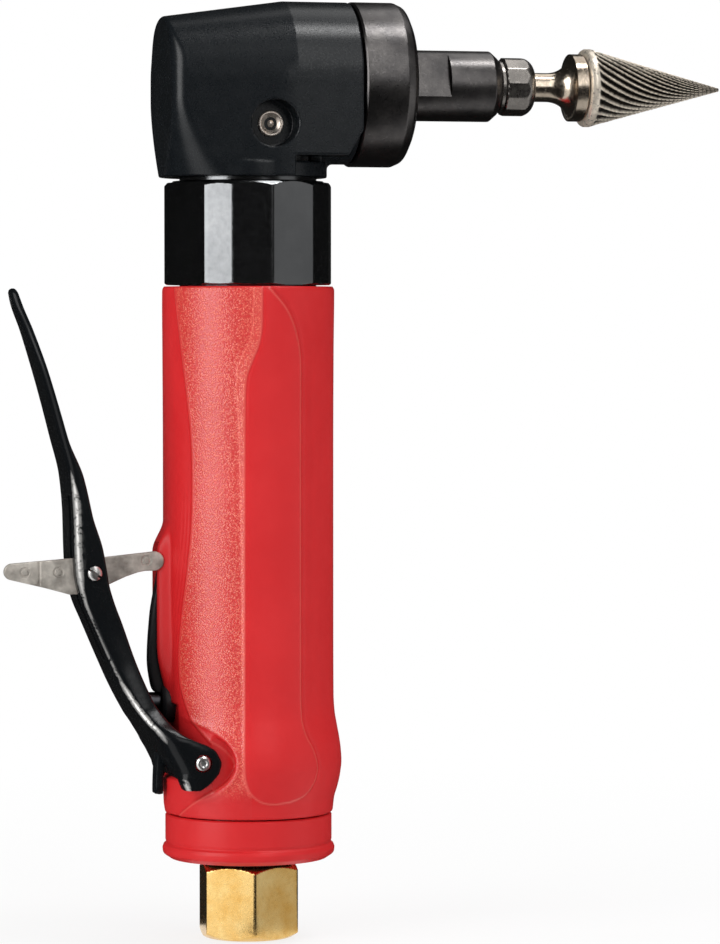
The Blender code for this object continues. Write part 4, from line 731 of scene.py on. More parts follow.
def head_core(x, y, up, floor):
    """The round parts of the head: the barrel in front, the foot below and its shelf."""
    spin = np.hypot(y, up)
    stand = np.hypot(x, y)
    barrel = smax(smax(spin - BARREL_RADIUS, x - HEAD_HIGH[0], 0.3), 4.2 + 0.25 * up - x, 0.3)
    groove = smax(np.abs(x - HEAD_FRONT - 0.25) - 0.35, BARREL_RADIUS - 1.4 - spin, 0.1)
    barrel = smax(barrel, -np.maximum(groove, GROOVE_FOOT - up), 0.05)
    foot = smax(smax(stand - FOOT_RADIUS, up - FOOT_SHOULDER, 0.3), floor, 0.25)
    shelf = smax(smax(stand - FOOT_RADIUS, up - FOOT_TOP, 0.3), floor, 0.25)
    return smin(barrel, smax(foot, np.abs(y) - FOOT_HALF, 0.3), 1.7), shelf


def head_hollow(x, y, up):
    """The bores inside the head."""
    spin = np.hypot(y, up)
    stand = np.hypot(x, y)
    bores = [smax(spin - radius, np.abs(x - middle) - half, 0.1) for radius, middle, half in BORES]
    mouth = np.maximum(spin - MOUTH_RADIUS, MOUTH_START - x)
    well = np.maximum(stand - WELL_RADIUS, up - WELL_TOP)
    shaft = np.maximum(stand - SHAFT_BORE, up)
    return np.minimum.reduce(bores + [mouth, well, shaft])


def head_field(x, y, z):
    """Signed distance to the angle head, with its bores and fitting recess."""
    up = z - SPINDLE_Z
    floor = HEAD_LOW[2] - z
    core, shelf = head_core(x, y, up, floor)
    body = smin(smin(smax(head_block(x, y, up), floor, 0.3), core, 0.15), shelf, 0.2)
    recess = smax(np.hypot(x - FITTING_X, z - FITTING_Z) - RECESS_RADIUS, y + RECESS_FLOOR, 0.3)
    body = smax(body, -recess, 0.25)
    return smax(body, -head_hollow(x, y, up), 0.1)


def add_head():
    """The angle head and its grease fitting."""
    make_piece("angle_head", implicit(head_field, "head_housing", HEAD_MARGIN, HEAD_CELL))
    # Radius and distance behind the fitting's face.
    nipple = [
        (0.0, 2.0), (2.0, 2.0), (2.65, 1.2), (2.65, -0.5), (2.45, -0.8), (2.15, -0.8), (1.95, -0.6),
        (0.95, 0.05), (0.85, 0.0), (0.75, -0.15), (0.45, -0.4), (0.0, -0.5),
    ]
    face = 0.2 - RECESS_FLOOR
    profile = softened([(radius, face + behind) for radius, behind in nipple], 0.12)
    make_piece("grease_nipple", lay(turned(profile, 64), "Y", (FITTING_X, 0.0, FITTING_Z)))


def add_output_collar():
    """The turned bearing cap in front of the head."""
    start, end, outside = along("output_collar")
    shoulder = HEAD_HIGH[0] + 0.15
    profile = softened(
        [
            (11.3, start), (13.0, start), (13.0, shoulder), (outside - 0.35, shoulder),
            (outside, shoulder + 0.35), (outside, end - 2.6, 1.2), (outside - 0.75, end - 0.9, 1.2),
            (outside - 2.6, end, 0.8), (9.4, end), (9.2, end - 0.35), (8.4, end - 0.35), (7.9, end),
            (7.6, end), (7.6, end - 1.4), (10.0, end - 1.4), (10.0, end - 4.0), (11.3, end - 4.0),
        ],
        0.12,
    )
    make_piece("bearing_cap", lay(turned(profile, 144, closed=True), "X", AT_SPINDLE))


# ---- wrench collar


FACET_CORNERS = (-9.0, 16.0, 38.0, 71.3, 97.6, 118.5)
FACET_TURN = -14.0
FACET_REACH = 1.4
COLLAR_NECK = 14.0
COLLAR_BORE = 6.5
GRIP_SOCKET = 14.3
GEAR_SOCKET = 11.3
# How far from the collar's foot and top its chamfers are cut into rows.
FOOT_RISES = (0.08, 0.16, 0.26, 0.40, 0.6, 0.9)
TOP_DROPS = (1.4, 1.1, 0.9, 0.8, 0.7, 0.6, 0.5, 0.4, 0.3, 0.2, 0.1, 0.03)


def facet_radius(angles, size):
    """Radius of the faceted outline at each angle."""
    turns = [FACET_TURN - corner - half for corner in FACET_CORNERS for half in (0.0, 180.0)]
    turns = np.sort(np.radians(np.array(turns) % 360.0))
    radius = np.full(angles.shape, size - 0.06)
    for first, last in zip(turns, np.append(turns[1:], turns[0] + FULL_TURN)):
        middle, half = (first + last) / 2, (last - first) / 2
        away = (angles - middle + math.pi) % FULL_TURN - math.pi
        flat = size * math.cos(half) / np.cos(np.clip(away, -FACET_REACH, FACET_REACH))
        radius = np.minimum(radius, np.where(np.abs(away) < FACET_REACH, flat, np.inf))
    return radius


def add_wrench_collar():
    """The faceted collar between the grip and the head."""
    low, high = corners("coupling_collar")
    size = (high[1] - low[1]) / 2
    foot, top, rim = low[2], HEAD_LOW[2] - 1.1, high[2]
    angles = around(360)
    flats = facet_radius(angles, size)
    rows = [(GRIP_SOCKET, foot), (np.minimum(flats, size - 0.6), foot)]
    rows += [(np.minimum(flats, size - 0.6 + 1.7 * rise), foot + rise) for rise in FOOT_RISES]
    rows += [(flats, foot + 2.0), (flats, top - 2.4)]
    rows += [(np.minimum(flats, size - 0.75 + 0.9 * drop), top - drop) for drop in TOP_DROPS]
    rows += [(15.6, top), (15.4, top + 0.3), (COLLAR_NECK, top + 0.3), (COLLAR_NECK, rim)]
    rows += [(GEAR_SOCKET, rim), (GEAR_SOCKET, rim - 9.0), (COLLAR_BORE, rim - 9.0)]
    rows += [(COLLAR_BORE, foot + 8.8), (GRIP_SOCKET, foot + 8.8)]
    make_piece("wrench_collar", skin(rings(rows, angles), closed=True), 12.0)


# ---- grip


# Height above the ground and angle from the back, along the edge of the smooth back zone.
RIDGE = [
    (21.0, 8.0), (25.0, 19.0), (28.3, 35.3), (30.4, 47.6), (32.6, 59.9), (35.0, 67.4), (37.5, 66.7),
    (40.1, 60.0), (42.0, 51.4), (44.5, 41.4), (46.8, 34.5), (51.7, 26.7), (54.7, 24.5), (59.8, 24.0),
    (68.0, 27.9), (76.1, 32.9), (84.3, 36.5), (92.4, 37.5), (102.5, 36.7), (112.5, 32.2), (122.6, 26.2),
    (132.7, 20.5), (138.0, 17.0),
]
RIDGE_CLOSING = [(-9.0, 138.0), (-9.0, 21.0)]
# The same for the outline of the side panel, from its foot up the left edge and down the right.
PANEL = [
    (29.1, 95.3), (29.3, 89.0), (30.0, 83.8), (31.6, 78.8), (34.0, 76.2), (37.0, 75.5), (44.0, 75.4),
    (60.0, 75.4), (80.0, 75.4), (100.0, 75.5), (108.0, 75.6), (112.5, 75.9), (115.5, 77.0), (118.5, 80.5),
    (121.7, 84.6), (125.0, 86.5), (129.0, 86.8), (133.0, 86.9), (138.0, 86.9), (138.0, 88.0), (134.0, 89.6),
    (132.3, 93.4), (129.1, 102.6), (125.7, 108.5), (121.6, 112.5), (117.6, 114.0), (112.0, 114.1),
    (90.0, 114.0), (60.0, 114.0), (48.0, 114.0), (44.5, 114.6), (42.0, 117.0), (39.6, 120.9), (35.9, 123.7),
    (32.5, 120.8), (30.4, 114.5), (29.4, 105.0),
]
PANEL_LEFT = PANEL[4:19]
# Height and the angle at which the bevel beside the panel's left edge starts.
BEVEL = [
    (28.0, 73.6), (50.0, 73.6), (70.0, 73.4), (86.5, 72.9), (104.6, 71.6), (112.6, 70.3), (115.6, 70.3),
    (118.6, 73.0), (122.0, 78.2), (126.7, 80.8), (133.1, 81.5), (138.0, 81.5),
]
# Outline of the sunk seat of the lever's ear, from the pivot.
EAR_POCKET = [
    (-13.0, 11.0), (-8.0, 9.9), (-3.4, 8.0), (0.8, 6.2), (4.1, 4.1), (5.7, 1.2), (5.5, -2.0), (3.4, -4.8),
    (0.0, -6.9), (-6.0, -8.3), (-13.0, -8.8),
]
# Height and outer radius of the plain round grip with its bulge.
GRIP_PROFILE = [
    (25.8, 17.1), (26.1, 17.32), (27.2, 17.45), (28.8, 17.65), (31.0, 18.3), (33.5, 18.85), (36.2, 19.14),
    (38.8, 18.98), (41.0, 18.68), (43.6, 18.2), (46.5, 17.72), (50.0, 17.52), (62.0, 17.48), (100.0, 17.48),
    (120.0, 17.55), (132.6, 17.68), (133.5, 17.45),
]
GRIP_COLUMNS = 480
GIRTH = 0.3067
WALL_RADIUS = 19.7
BACK_RADIUS = 17.5
EAR_FLOOR = 14.7
BACK_RELIEF_X = -16.0
BACK_RELIEF_HALF = 13.4
BUTTON_RADIUS = 2.4
BORE_SKIN = 14.15
SLOT_RADIUS = 16.3


def zone(table, turn, z, closing=()):
    """Signed distance to an outline laid round the grip, negative inside it."""
    path = curved([(across * GIRTH, height) for height, across in table])
    return outline_distance(turn * GIRTH, z, path.tolist() + list(closing))


def grip_zones(angle, z):
    """Where a grid of angles and heights lies from the grip's zones and its panel's left edge."""
    turn = 180.0 - np.abs(np.degrees((angle + math.pi) % FULL_TURN - math.pi))
    height = z[:, 0]
    edge = np.interp(height, *np.array(PANEL_LEFT).T)[:, None]
    wide = np.maximum((edge - eased(height, BEVEL)) * GIRTH, 0.5)
    return SimpleNamespace(
        turn=turn,
        edge=edge,
        wide=np.where(turn < edge + 3.0, wide, 0.55),
        panel=zone(PANEL, turn, z),
        smooth=zone(RIDGE, turn, z, RIDGE_CLOSING),
    )


def ridge_relief(at, z):
    """The drop inside the smooth back zone, the lip round it and the fine grooves beside the lip."""
    drop = ramp(0.1, -0.6, at.smooth) * ramp(-5.5, -0.3, at.smooth)
    grooves = sum(bell(at.smooth - place, 0.22) for place in (-0.95, -1.9, -2.9))
    grooves = grooves * ramp(40.0, 60.0, z) * ramp(96.0, 84.0, z)
    return 0.10 * bell(at.smooth, 0.30) - 0.34 * drop - 0.07 * grooves


def panel_relief(at, z):
    """The raised side panel and its bevel, the trenches at its edges and the scoop beyond it."""
    raised = 0.26 * np.clip(1.0 - at.panel / at.wide, 0.0, 1.0) - 0.14 * ramp(0.3, 4.0, -at.panel)
    raised = raised + 0.05 * bell(at.panel - at.wide, 0.3) * (at.turn < at.edge)
    trench = bell(at.panel + 0.3, 0.22) * (at.turn < at.edge + 4.0) * (0.35 + 0.65 * ramp(98.0, 112.0, z))
    beside = bell(at.panel - 0.75, 0.35) * (at.turn > at.edge + 8.0) * ramp(30.0, 40.0, z)
    beyond = at.panel * (at.turn > 100.0)
    scoop = ramp(0.6, 4.5, beyond) * ramp(15.0, 8.0, beyond)
    scoop = scoop * ramp(38.0, 52.0, z) * (1.0 - 0.6 * ramp(112.0, 132.0, z))
    return raised - 0.16 * trench - 0.22 * beside - 0.5 * scoop


def lever_seat(radius, angle, x, y, z, pocket):
    """The radius with the seats of the lever's ears and foot sunk into it."""
    across = np.abs(np.sin(angle))
    floor = np.where(across > 0.45, EAR_FLOOR / np.maximum(across, 0.3), radius)
    radius = mixed(radius, np.minimum(radius, floor), ramp(0.4, -0.4, pocket))
    tall = np.abs(z - PIVOT_Z - 3.5) - 7.6
    relief_edge = smax(smax(np.abs(y) - BACK_RELIEF_HALF, tall, 1.5), x + 8.0, 0.5)
    behind = np.where(np.cos(angle) < -0.4, BACK_RELIEF_X / np.minimum(np.cos(angle), -0.4), radius)
    return mixed(radius, np.minimum(radius, behind), ramp(0.35, -0.35, relief_edge))


def back_wall(radius, x, y, z):
    """The radius with the wall behind the lever, the rib's slot and the button's hole."""
    wall = ramp(4.4, 2.3, np.abs(y)) * ramp(47.0, 60.0, z) * ramp(86.0, 79.5, z) * (x < 0.0)
    radius = mixed(radius, WALL_RADIUS, wall)
    middle, half = (RIB_LOW[2] + RIB_HIGH[2]) / 2, (RIB_HIGH[2] - RIB_LOW[2]) / 2
    slot = np.maximum(smax(np.abs(y) - 1.9, np.abs(z - middle) - half - 0.3, 0.2), x)
    radius = mixed(radius, SLOT_RADIUS, ramp(0.12, -0.12, slot))
    button = np.maximum(np.hypot(y, z - VALVE_Z) - BUTTON_RADIUS, x)
    return mixed(radius, BORE_SKIN, ramp(0.15, -0.15, button))


def grip_marks(at, z, pocket, rim):
    """Where the grip is textured, and where its edges get a painted highlight and extra gloss."""
    textured = ramp(0.0, 0.6, at.smooth) * ramp(0.0, 0.25, at.panel) * ramp(0.3, 0.9, pocket)
    textured = textured * (at.turn < at.edge + 4.0) * (0.15 + 0.85 * ramp(28.5, 33.5, z))
    bevel = ramp(-0.15, 0.1, at.panel) * ramp(1.1, 0.8, at.panel / at.wide) * (at.turn < at.edge + 4.0)
    outer_edge = bell(at.panel - at.wide, 0.2) * (at.turn < at.edge) * ramp(40.0, 60.0, z)
    lip = 0.7 * bell(at.smooth - 0.05, 0.25)
    inner_edge = 0.85 * bell(at.panel - 0.1, 0.22)
    # The second mark places the painted highlight on the bevel, the panel's edges, the lip and the rim.
    return textured, np.maximum.reduce([0.45 * bevel, inner_edge, outer_edge, lip, 0.25 * rim])


def grip_surface(angle, z):
    """Outer radius of the grip and its two marks on a grid of angles and heights."""
    at = grip_zones(angle, z)
    plain = eased(z[:, 0], GRIP_PROFILE)
    at_back = ramp(62.0, 30.0, at.turn) * ramp(56.0, 50.0, z)
    radius = plain - at_back * np.maximum(plain - BACK_RADIUS, 0.0)
    radius = radius + ridge_relief(at, z) + panel_relief(at, z)
    x, y = radius * np.cos(angle), radius * np.sin(angle)
    pocket = outline_distance(x - PIVOT_X, z - PIVOT_Z, curved(EAR_POCKET))
    rim = bell(pocket - 1.0, 0.5) * ramp(-16.5, -14.0, x)
    radius = lever_seat(radius + 0.2 * rim, angle, x, y, z, pocket)
    return back_wall(radius, x, y, z), *grip_marks(at, z, pocket, rim)


def add_grip():
    """The moulded sleeve with its side panels, smooth back zone and lever pockets."""
    grip_low, grip_high = corners("grip_sleeve")
    low, high = grip_low[2], grip_high[2]
    heights = np.arange(low + 0.2, high - 0.1, 0.3)
    angles = around(GRIP_COLUMNS)
    radius, textured, edge_highlights = grip_surface(*np.meshgrid(angles, heights))
    foot = [(14.0, low), (radius[0] - 0.25, low)]
    top = [(radius[-1] - 0.25, high), (15.5, high), (15.5, low + 36.3), (14.0, low + 36.3)]
    rows = foot + list(zip(radius, heights)) + top
    marks = {}
    for label, values in (("finish_and_painted_light_mask", textured), ("painted_edge_highlight", edge_highlights)):
        full = np.zeros((len(rows), GRIP_COLUMNS), np.float32)
        full[len(foot) : -len(top)] = values
        marks[label] = full.ravel()
    make_piece("grip", skin(rings(rows, angles), closed=True), 80.0, marks=marks)


RIB_CORNER = 0.7
# Share of the rib's length and of its full height.
RIB_SWELL = [(0.0, 0.80), (0.22, 1.0), (0.5, 0.88), (0.78, 0.54), (1.0, 0.26)]


def add_rib():
    """The black strip let into the grip behind the lever."""
    foot = RIB_HIGH[0]
    tall, wide, length = RIB_HIGH - RIB_LOW
    half = wide / 2
    rows = []
    for share in np.linspace(0.0, 1.0, 60):
        height = tall * eased(share, RIB_SWELL)[0, 0] - 0.5 * (abs(2 * share - 1) ** 24)
        corner = min(RIB_CORNER, 0.45 * height)
        section = [(foot, -half)]
        section += arc((foot - height + corner, -half + corner), corner, 270.0, 180.0, 6)
        section += arc((foot - height + corner, half - corner), corner, 180.0, 90.0, 6)
        section += [(foot, half)]
        rows.append([(x, y, RIB_LOW[2] + share * length) for x, y in section])
    make_piece("back_rib", capped(rows), 40.0)


def add_bezel():
    """The black ring that guides the valve button at the rib's foot."""
    face, back = -18.6, -15.0
    profile = [(2.45, back), (4.1, back), (4.3, face + 0.6, 0.5), (3.7, face), (2.45, face)]
    profile = softened(profile, 0.2)
    make_piece("button_bezel", lay(turned(profile, 64, closed=True), "X", AT_VALVE))


HOLE_CIRCLE = 11.9
HOLE_RADIUS = 1.3


def add_cap():
    """The exhaust ring under the grip, with its band, rim and outlet holes."""
    corner_low, corner_high = corners("exhaust_end_cap")
    low, high = corner_low[2], corner_high[2]
    rim = (corner_high[0] - corner_low[0]) / 2
    band = rim - 0.6
    profile = softened(
        [
            (9.2, low + 1.0), (8.8, low), (rim - 1.6, low), (rim - 0.1, low + 1.0, 0.9), (rim, low + 2.1, 0.7),
            (rim - 0.25, low + 2.75), (band - 0.2, low + 3.15, 0.3), (band, low + 3.8, 0.4),
            (band, high - 0.3, 0.15), (band - 0.3, high), (15.0, high), (15.0, low + 2.2), (8.8, low + 2.2),
        ]
    )
    hole = rod(HOLE_RADIUS, low - 1.0, low + 4.0, 24)
    holes = [lay(hole, "Z", centre) for centre in rings([(HOLE_CIRCLE, 0.0)], around(6))[0]]
    make_piece("exhaust_cap", turned(profile, 144, closed=True), cuts=[gathered(holes)])


# ---- inlet


HEX_TURN = math.radians(25.6)
HEX_APOTHEM = 9.5
HEX_CORNER = 10.88
HEX_HEIGHT = 15.2
CHAMFER_START = 9.15
CHAMFER_SLOPE = 1.6
HEX_CHAMFER = np.array([0.0, 0.12, 0.24, 0.36, 0.5, 0.65, 0.8, 1.0, 1.2, 1.45])
PORT_DEPTH = 12.0
PORT_RADIUS = 5.7
THREAD_PITCH = 1.34
THREAD_DEPTH = 0.6


def add_inlet():
    """The brass hexagon with turned corners and a threaded port."""
    top = corners("inlet_bushing")[1][2]
    angles = around(180)
    sector = (angles - HEX_TURN) % (math.pi / 3) - math.pi / 6
    flats = np.minimum(HEX_APOTHEM / np.cos(sector), HEX_CORNER)
    rows = []
    for depth in np.arange(PORT_DEPTH, 0.6, -THREAD_PITCH / 6):
        wave = (depth / THREAD_PITCH - angles / FULL_TURN) % 1.0
        rows.append((PORT_RADIUS - THREAD_DEPTH * (1.0 - np.abs(2 * wave - 1.0)), depth))
    rows += [(5.75, 0.55), (6.3, 0.0), (8.9, 0.0)]
    chamfer = [(np.minimum(flats, CHAMFER_START + CHAMFER_SLOPE * rise), rise + 0.1) for rise in HEX_CHAMFER]
    rows += chamfer + [(flats, 4.0), (flats, HEX_HEIGHT - 4.0)]
    rows += [(radius, HEX_HEIGHT - height) for radius, height in reversed(chamfer)]
    rows += [(8.9, HEX_HEIGHT), (8.5, HEX_HEIGHT + 0.1), (8.5, top), (7.0, top), (7.0, top - 3.6)]
    rows += [(3.2, top - 3.6), (3.2, PORT_DEPTH + 0.1), (5.1, PORT_DEPTH + 0.1)]
    make_piece("inlet_hexagon", skin(rings(rows, angles), closed=True), 20.0)


# ---- throttle lever


SHEET = 1.2
TIP_ROUND = 0.9
MIRROR = np.array([1.0, -1.0])
PIVOT_HOLE = 1.8
LOCK_HOLE = 1.15
# The gap between the ears at the foot of the back, and the slot beside the lock plate.
GAP_HALF = 11.6
GAP_TOP = -3.43
SLOT_SIDES = (-4.3, -2.0)
SLOT_ENDS = (-17.6, 15.5)
BEHIND = -90.0
# Height above the pivot, back of the channel, half-width of the back, half-width over the
# flanges, depth of the flanges.
LEVER = [
    (-5.5, -3.6, 14.9, 16.2, 3.2), (-4.6, -4.0, 14.6, 16.2, 5.0), (-3.3, -4.5, 14.0, 16.2, 6.9),
    (-1.7, -5.3, 12.0, 16.2, 8.8), (0.5, -6.4, 12.0, 16.2, 10.1), (2.2, -7.4, 12.0, 16.2, 10.2),
    (3.4, -8.0, 12.0, 16.2, 9.2), (4.4, -8.6, 12.0, 16.2, 7.4),
    (6.1, -9.7, 11.7, 15.2, 5.3), (8.2, -11.2, 11.3, 13.0, 4.8), (11.2, -13.2, 9.7, 10.5, 4.8),
    (14.7, -15.2, 8.3, 9.0, 5.2), (20.2, -17.8, 7.6, 8.1, 5.6), (28.0, -21.2, 7.5, 7.7, 6.3),
    (32.3, -23.0, 7.5, 7.7, 6.5), (37.0, -24.2, 7.5, 7.7, 6.5), (42.3, -24.6, 7.5, 7.7, 6.0),
    (50.0, -24.8, 7.5, 7.7, 3.9), (57.5, -25.5, 7.4, 7.5, 2.9), (65.5, -27.5, 7.1, 7.2, 1.7),
    (78.0, -30.9, 6.5, 6.6, 1.5), (87.2, -34.0, 4.5, 4.6, 1.6), (92.5, -36.1, 3.2, 3.3, 1.7),
    (95.6, -36.9, 1.9, 2.0, 1.5),
]
# Height above the pivot, how strongly the bend gets its bright bare-metal colour (partly paint wear, partly a
# painted highlight), and how wide.
BEND_WEAR_AND_HIGHLIGHT = [
    (-6.0, 0.9, 1.0), (-3.8, 0.8, 1.0), (-2.4, 0.05, 0.8), (2.5, 0.1, 0.8), (5.0, 1.0, 1.2), (13.0, 1.0, 1.1),
    (17.0, 0.65, 0.7), (26.0, 0.5, 0.6), (34.0, 0.7, 0.8), (38.5, 1.0, 1.15), (52.0, 1.0, 1.15),
    (57.0, 0.9, 0.6), (61.0, 0.7, 0.3), (93.0, 0.7, 0.26), (96.0, 0.3, 0.3),
]


def lever_section(rise, back, half_back, half_flange, depth):
    """One closed cross-section of the pressed channel, with rolled bends and rounded lips."""
    splay = half_flange - half_back
    across = min(max(splay, SHEET + 0.5), max(0.8 * half_flange, SHEET + 0.1))
    rolled = min(max(1.5 + 0.6 * splay, SHEET + 0.15), max(depth - 0.05, 1.25))
    tip = back + max(depth, rolled + 0.05)
    bend = np.radians(np.linspace(0.0, 90.0, 9))
    sin, cos = np.sin(bend), np.cos(bend)
    outer = np.transpose([back + rolled * (1 - sin), half_flange - across * (1 - cos)])
    inside = half_flange - across + (across - SHEET) * cos
    inner = np.transpose([back + rolled - (rolled - SHEET) * sin, inside])
    reach = min(SHEET / 2, tip - back - rolled)
    edge = np.radians(np.linspace(-90.0, 90.0, 7))
    lip = np.transpose([tip + reach * (np.cos(edge) - 1.0), half_flange + SHEET / 2 * (np.sin(edge) - 1.0)])
    outside = np.vstack([lip, outer])
    points = np.vstack([outside * MIRROR, outside[::-1], inner, inner[::-1] * MIRROR])
    return np.column_stack([points, np.full(len(points), rise)])


def bend_wear_and_highlight(mesh):
    """How strongly the rolled bends get bright bare-metal colour, at each corner of the mesh: partly paint
    wear, partly a painted highlight.
    """
    points = np.empty(3 * len(mesh.vertices))
    mesh.vertices.foreach_get("co", points)
    x, y, z = (points.reshape(-1, 3) / MM - AXIS).T
    back, _, half_flange, _ = eased(z - PIVOT_Z, LEVER).T
    behind = x - PIVOT_X - back
    beside = half_flange - np.abs(y)
    amount, width = eased(z - PIVOT_Z, BEND_WEAR_AND_HIGHLIGHT).T
    near = bell(behind - 0.70 * width, 0.58 * width) * bell(beside - 0.4 * width, 0.9 * width)
    return (near * amount).astype(np.float32)


def add_lever():
    """The pressed channel lever with its ears, pin holes and the slot for the lock plate."""
    first, last = LEVER[0][0], LEVER[-1][0]
    tip = TIP_ROUND * np.array([1.0, 0.4, 0.12, 0.0])
    heights = np.concatenate([np.arange(first, 9.0, 0.3), np.arange(9.0, last - 1.0, 0.6), last - tip])
    rows = [lever_section(rise, *station) for rise, station in zip(heights, eased(heights, LEVER))]
    for row, left in zip(rows[-3:], tip[-3:]):
        share = 1.0 - (0.97 * (1.0 - left / TIP_ROUND)) ** 2
        middle = row.mean(axis=0)
        row[:, :2] = middle[:2] + (row[:, :2] - middle[:2]) * math.sqrt(share)
    inside = PIVOT_X + 0.01
    foot = box_shape((BEHIND, -GAP_HALF, 0.0), (inside, GAP_HALF, PIVOT_Z + GAP_TOP))
    ends = LOCK_Z + np.array(SLOT_ENDS)
    slot = box_shape((BEHIND, SLOT_SIDES[0], ends[0]), (inside, SLOT_SIDES[1], ends[1]))
    pivot_hole = lay(rod(PIVOT_HOLE, -20.0, 20.0, 40), "Y", AT_PIVOT)
    lock_hole = lay(rod(LOCK_HOLE, -20.0, 20.0, 32), "Y", AT_LOCK)
    shape = lay(capped(rows), "Z", AT_PIVOT)
    make_piece("squeeze_lever", shape, 35.0, [foot, slot, pivot_hole, lock_hole], {"finish_and_painted_light_mask": bend_wear_and_highlight})


# The tongue's outline from the pivot, then places across it and the outline's size at each.
TOE = [
    (-6.5, 1.5), (-6.8, -1.0), (-7.0, -6.8), (-6.7, -7.5), (-5.7, -7.5), (-5.4, -6.8), (-5.3, -1.0),
    (-5.4, 1.5),
]
TOE_ROWS = ((-2.2, 0.7), (-2.1, 0.9), (-1.8, 1.0), (1.8, 1.0), (2.1, 0.9), (2.2, 0.7))


def add_toe():
    """The tongue at the foot of the lever's back that stops it against the grip."""
    outline = curved(TOE + TOE[:1], 4)[:-1]
    middle = outline.mean(axis=0)
    rows = [[(x, y, z) for x, z in middle + (outline - middle) * share] for y, share in TOE_ROWS]
    make_piece("lever_toe", lay(capped(rows), "Z", AT_PIVOT), 40.0)


def add_pivot_pin():
    """The lever's pivot pin, hollow at both ends."""
    half = half_of("lever_pivot_pin")[1]
    end = [(0.0, half - 0.25), (0.55, half - 0.25), (0.75, half), (1.15, half), (1.5, half - 0.35)]
    profile = [(radius, -height) for radius, height in end] + end[::-1]
    make_piece("pivot_pin", lay(turned(softened(profile, 0.08), 48), "Y", AT_PIVOT))


def add_lock_pin():
    """The domed lock pin with a slot across its head."""
    head, half, _ = half_of("lock_pin")
    turns = np.radians(np.arange(0, 91, 15))
    profile = [(head * math.sin(t), -half + 0.7 * (1.0 - math.cos(t))) for t in turns]
    profile += [(head, -half + 0.75), (0.85, -half + 0.75)]
    profile += [(radius, -height) for radius, height in reversed(profile)]
    slot = box_shape((-2.0, -half - 1.0, -0.24), (2.0, -half + 1.0, 0.24))
    slot = lay(tilted(slot, math.radians(-35.0), 0, 2), "Z", AT_LOCK)
    make_piece("lock_rivet", lay(turned(softened(profile, 0.1), 48), "Y", AT_LOCK), cuts=[slot])


def wire(path, radius):
    """A round wire along a list of points."""
    path = np.array(path, float)
    ahead = np.gradient(path, axis=0)
    ahead /= np.linalg.norm(ahead, axis=1)[:, None]
    side = np.cross(ahead[0], (0.3, 0.9, 0.2))
    rows = []
    for point, direction in zip(path, ahead):
        side = side - direction * (side @ direction)
        side /= np.linalg.norm(side)
        other = np.cross(direction, side)
        rows.append([point + radius * (math.cos(a) * side + math.sin(a) * other) for a in around(10)])
    return capped(rows)


COIL_RADIUS = 1.45
COIL_WIRE = 0.3
COIL_TURNS = 4.0


def add_lock_spring():
    """The small coil that holds the lock plate out."""
    low, high = corners("lock_spring")
    turns = np.linspace(0.0, COIL_TURNS * FULL_TURN, 140)
    heights = np.linspace(low[1] + COIL_WIRE, high[1] - COIL_WIRE, 140)
    path = [(COIL_RADIUS * math.cos(t), h, COIL_RADIUS * math.sin(t)) for t, h in zip(turns, heights)]
    make_piece("lock_coil", lay(wire(path, COIL_WIRE), "Z", AT_LOCK), 60.0)


# ---- lock plate


PLATE_LOW, PLATE_HIGH = corners("lock_lever")
PLATE_CELL = 0.2
PLATE_MARGIN = 0.6
# Place along the plate and height of the round dimples, and place of the crease.
DIMPLES = ((-13.6, 0.1), (-6.7, 0.1), (11.4, 2.2))
CREASE = -10.6


def lock_outline():
    """The lock plate's outline about its pivot: wing, arm, hub."""
    points = arc((-16.1, 0.28), 1.7, 250.0, 95.0, 14)
    points += [(-4.6, 2.85), (3.4, 3.1)]
    points += arc((13.1, 2.1), 2.0, 85.0, -85.0, 14)
    points += [(11.1, 0.1), (9.6, -0.2), (7.2, -1.0), (4.7, -2.1)]
    points += arc((0.0, -1.0), 3.4, -35.0, -100.0, 8)
    points += [(-4.4, -4.5), (-6.5, -3.9), (-9.4, -3.1)]
    return points


def lock_field(x, y, z):
    """Signed distance to the lock plate, with its pin hole, dimples and crease."""
    across = x - LOCK_X
    up = z - LOCK_Z
    edge = outline_distance(across, up, lock_outline())
    middle, half = (PLATE_LOW[1] + PLATE_HIGH[1]) / 2, (PLATE_HIGH[1] - PLATE_LOW[1]) / 2
    body = smax(edge + 0.02, np.abs(y - middle) - half, 0.3)
    body = smax(body, 1.15 - np.hypot(across, up), 0.15)
    for place, rise in DIMPLES:
        away = np.hypot(across - place, up - rise)
        pit = smax(np.abs(away - 0.85) - 0.22, y - PLATE_LOW[1] - 0.22, 0.1)
        body = smax(body, -pit, 0.1)
    groove = smax(np.abs(across - CREASE) - 0.25, y - PLATE_LOW[1] - 0.18, 0.1)
    return smax(body, -groove, 0.12)


def add_lock_plate():
    """The flat lock-off plate."""
    make_piece("lock_plate", implicit(lock_field, "lock_lever", PLATE_MARGIN, PLATE_CELL))


# ---- spindle and burr


FLAT_HALF = 5.6
FLAT_TILT = math.radians(-20.0)


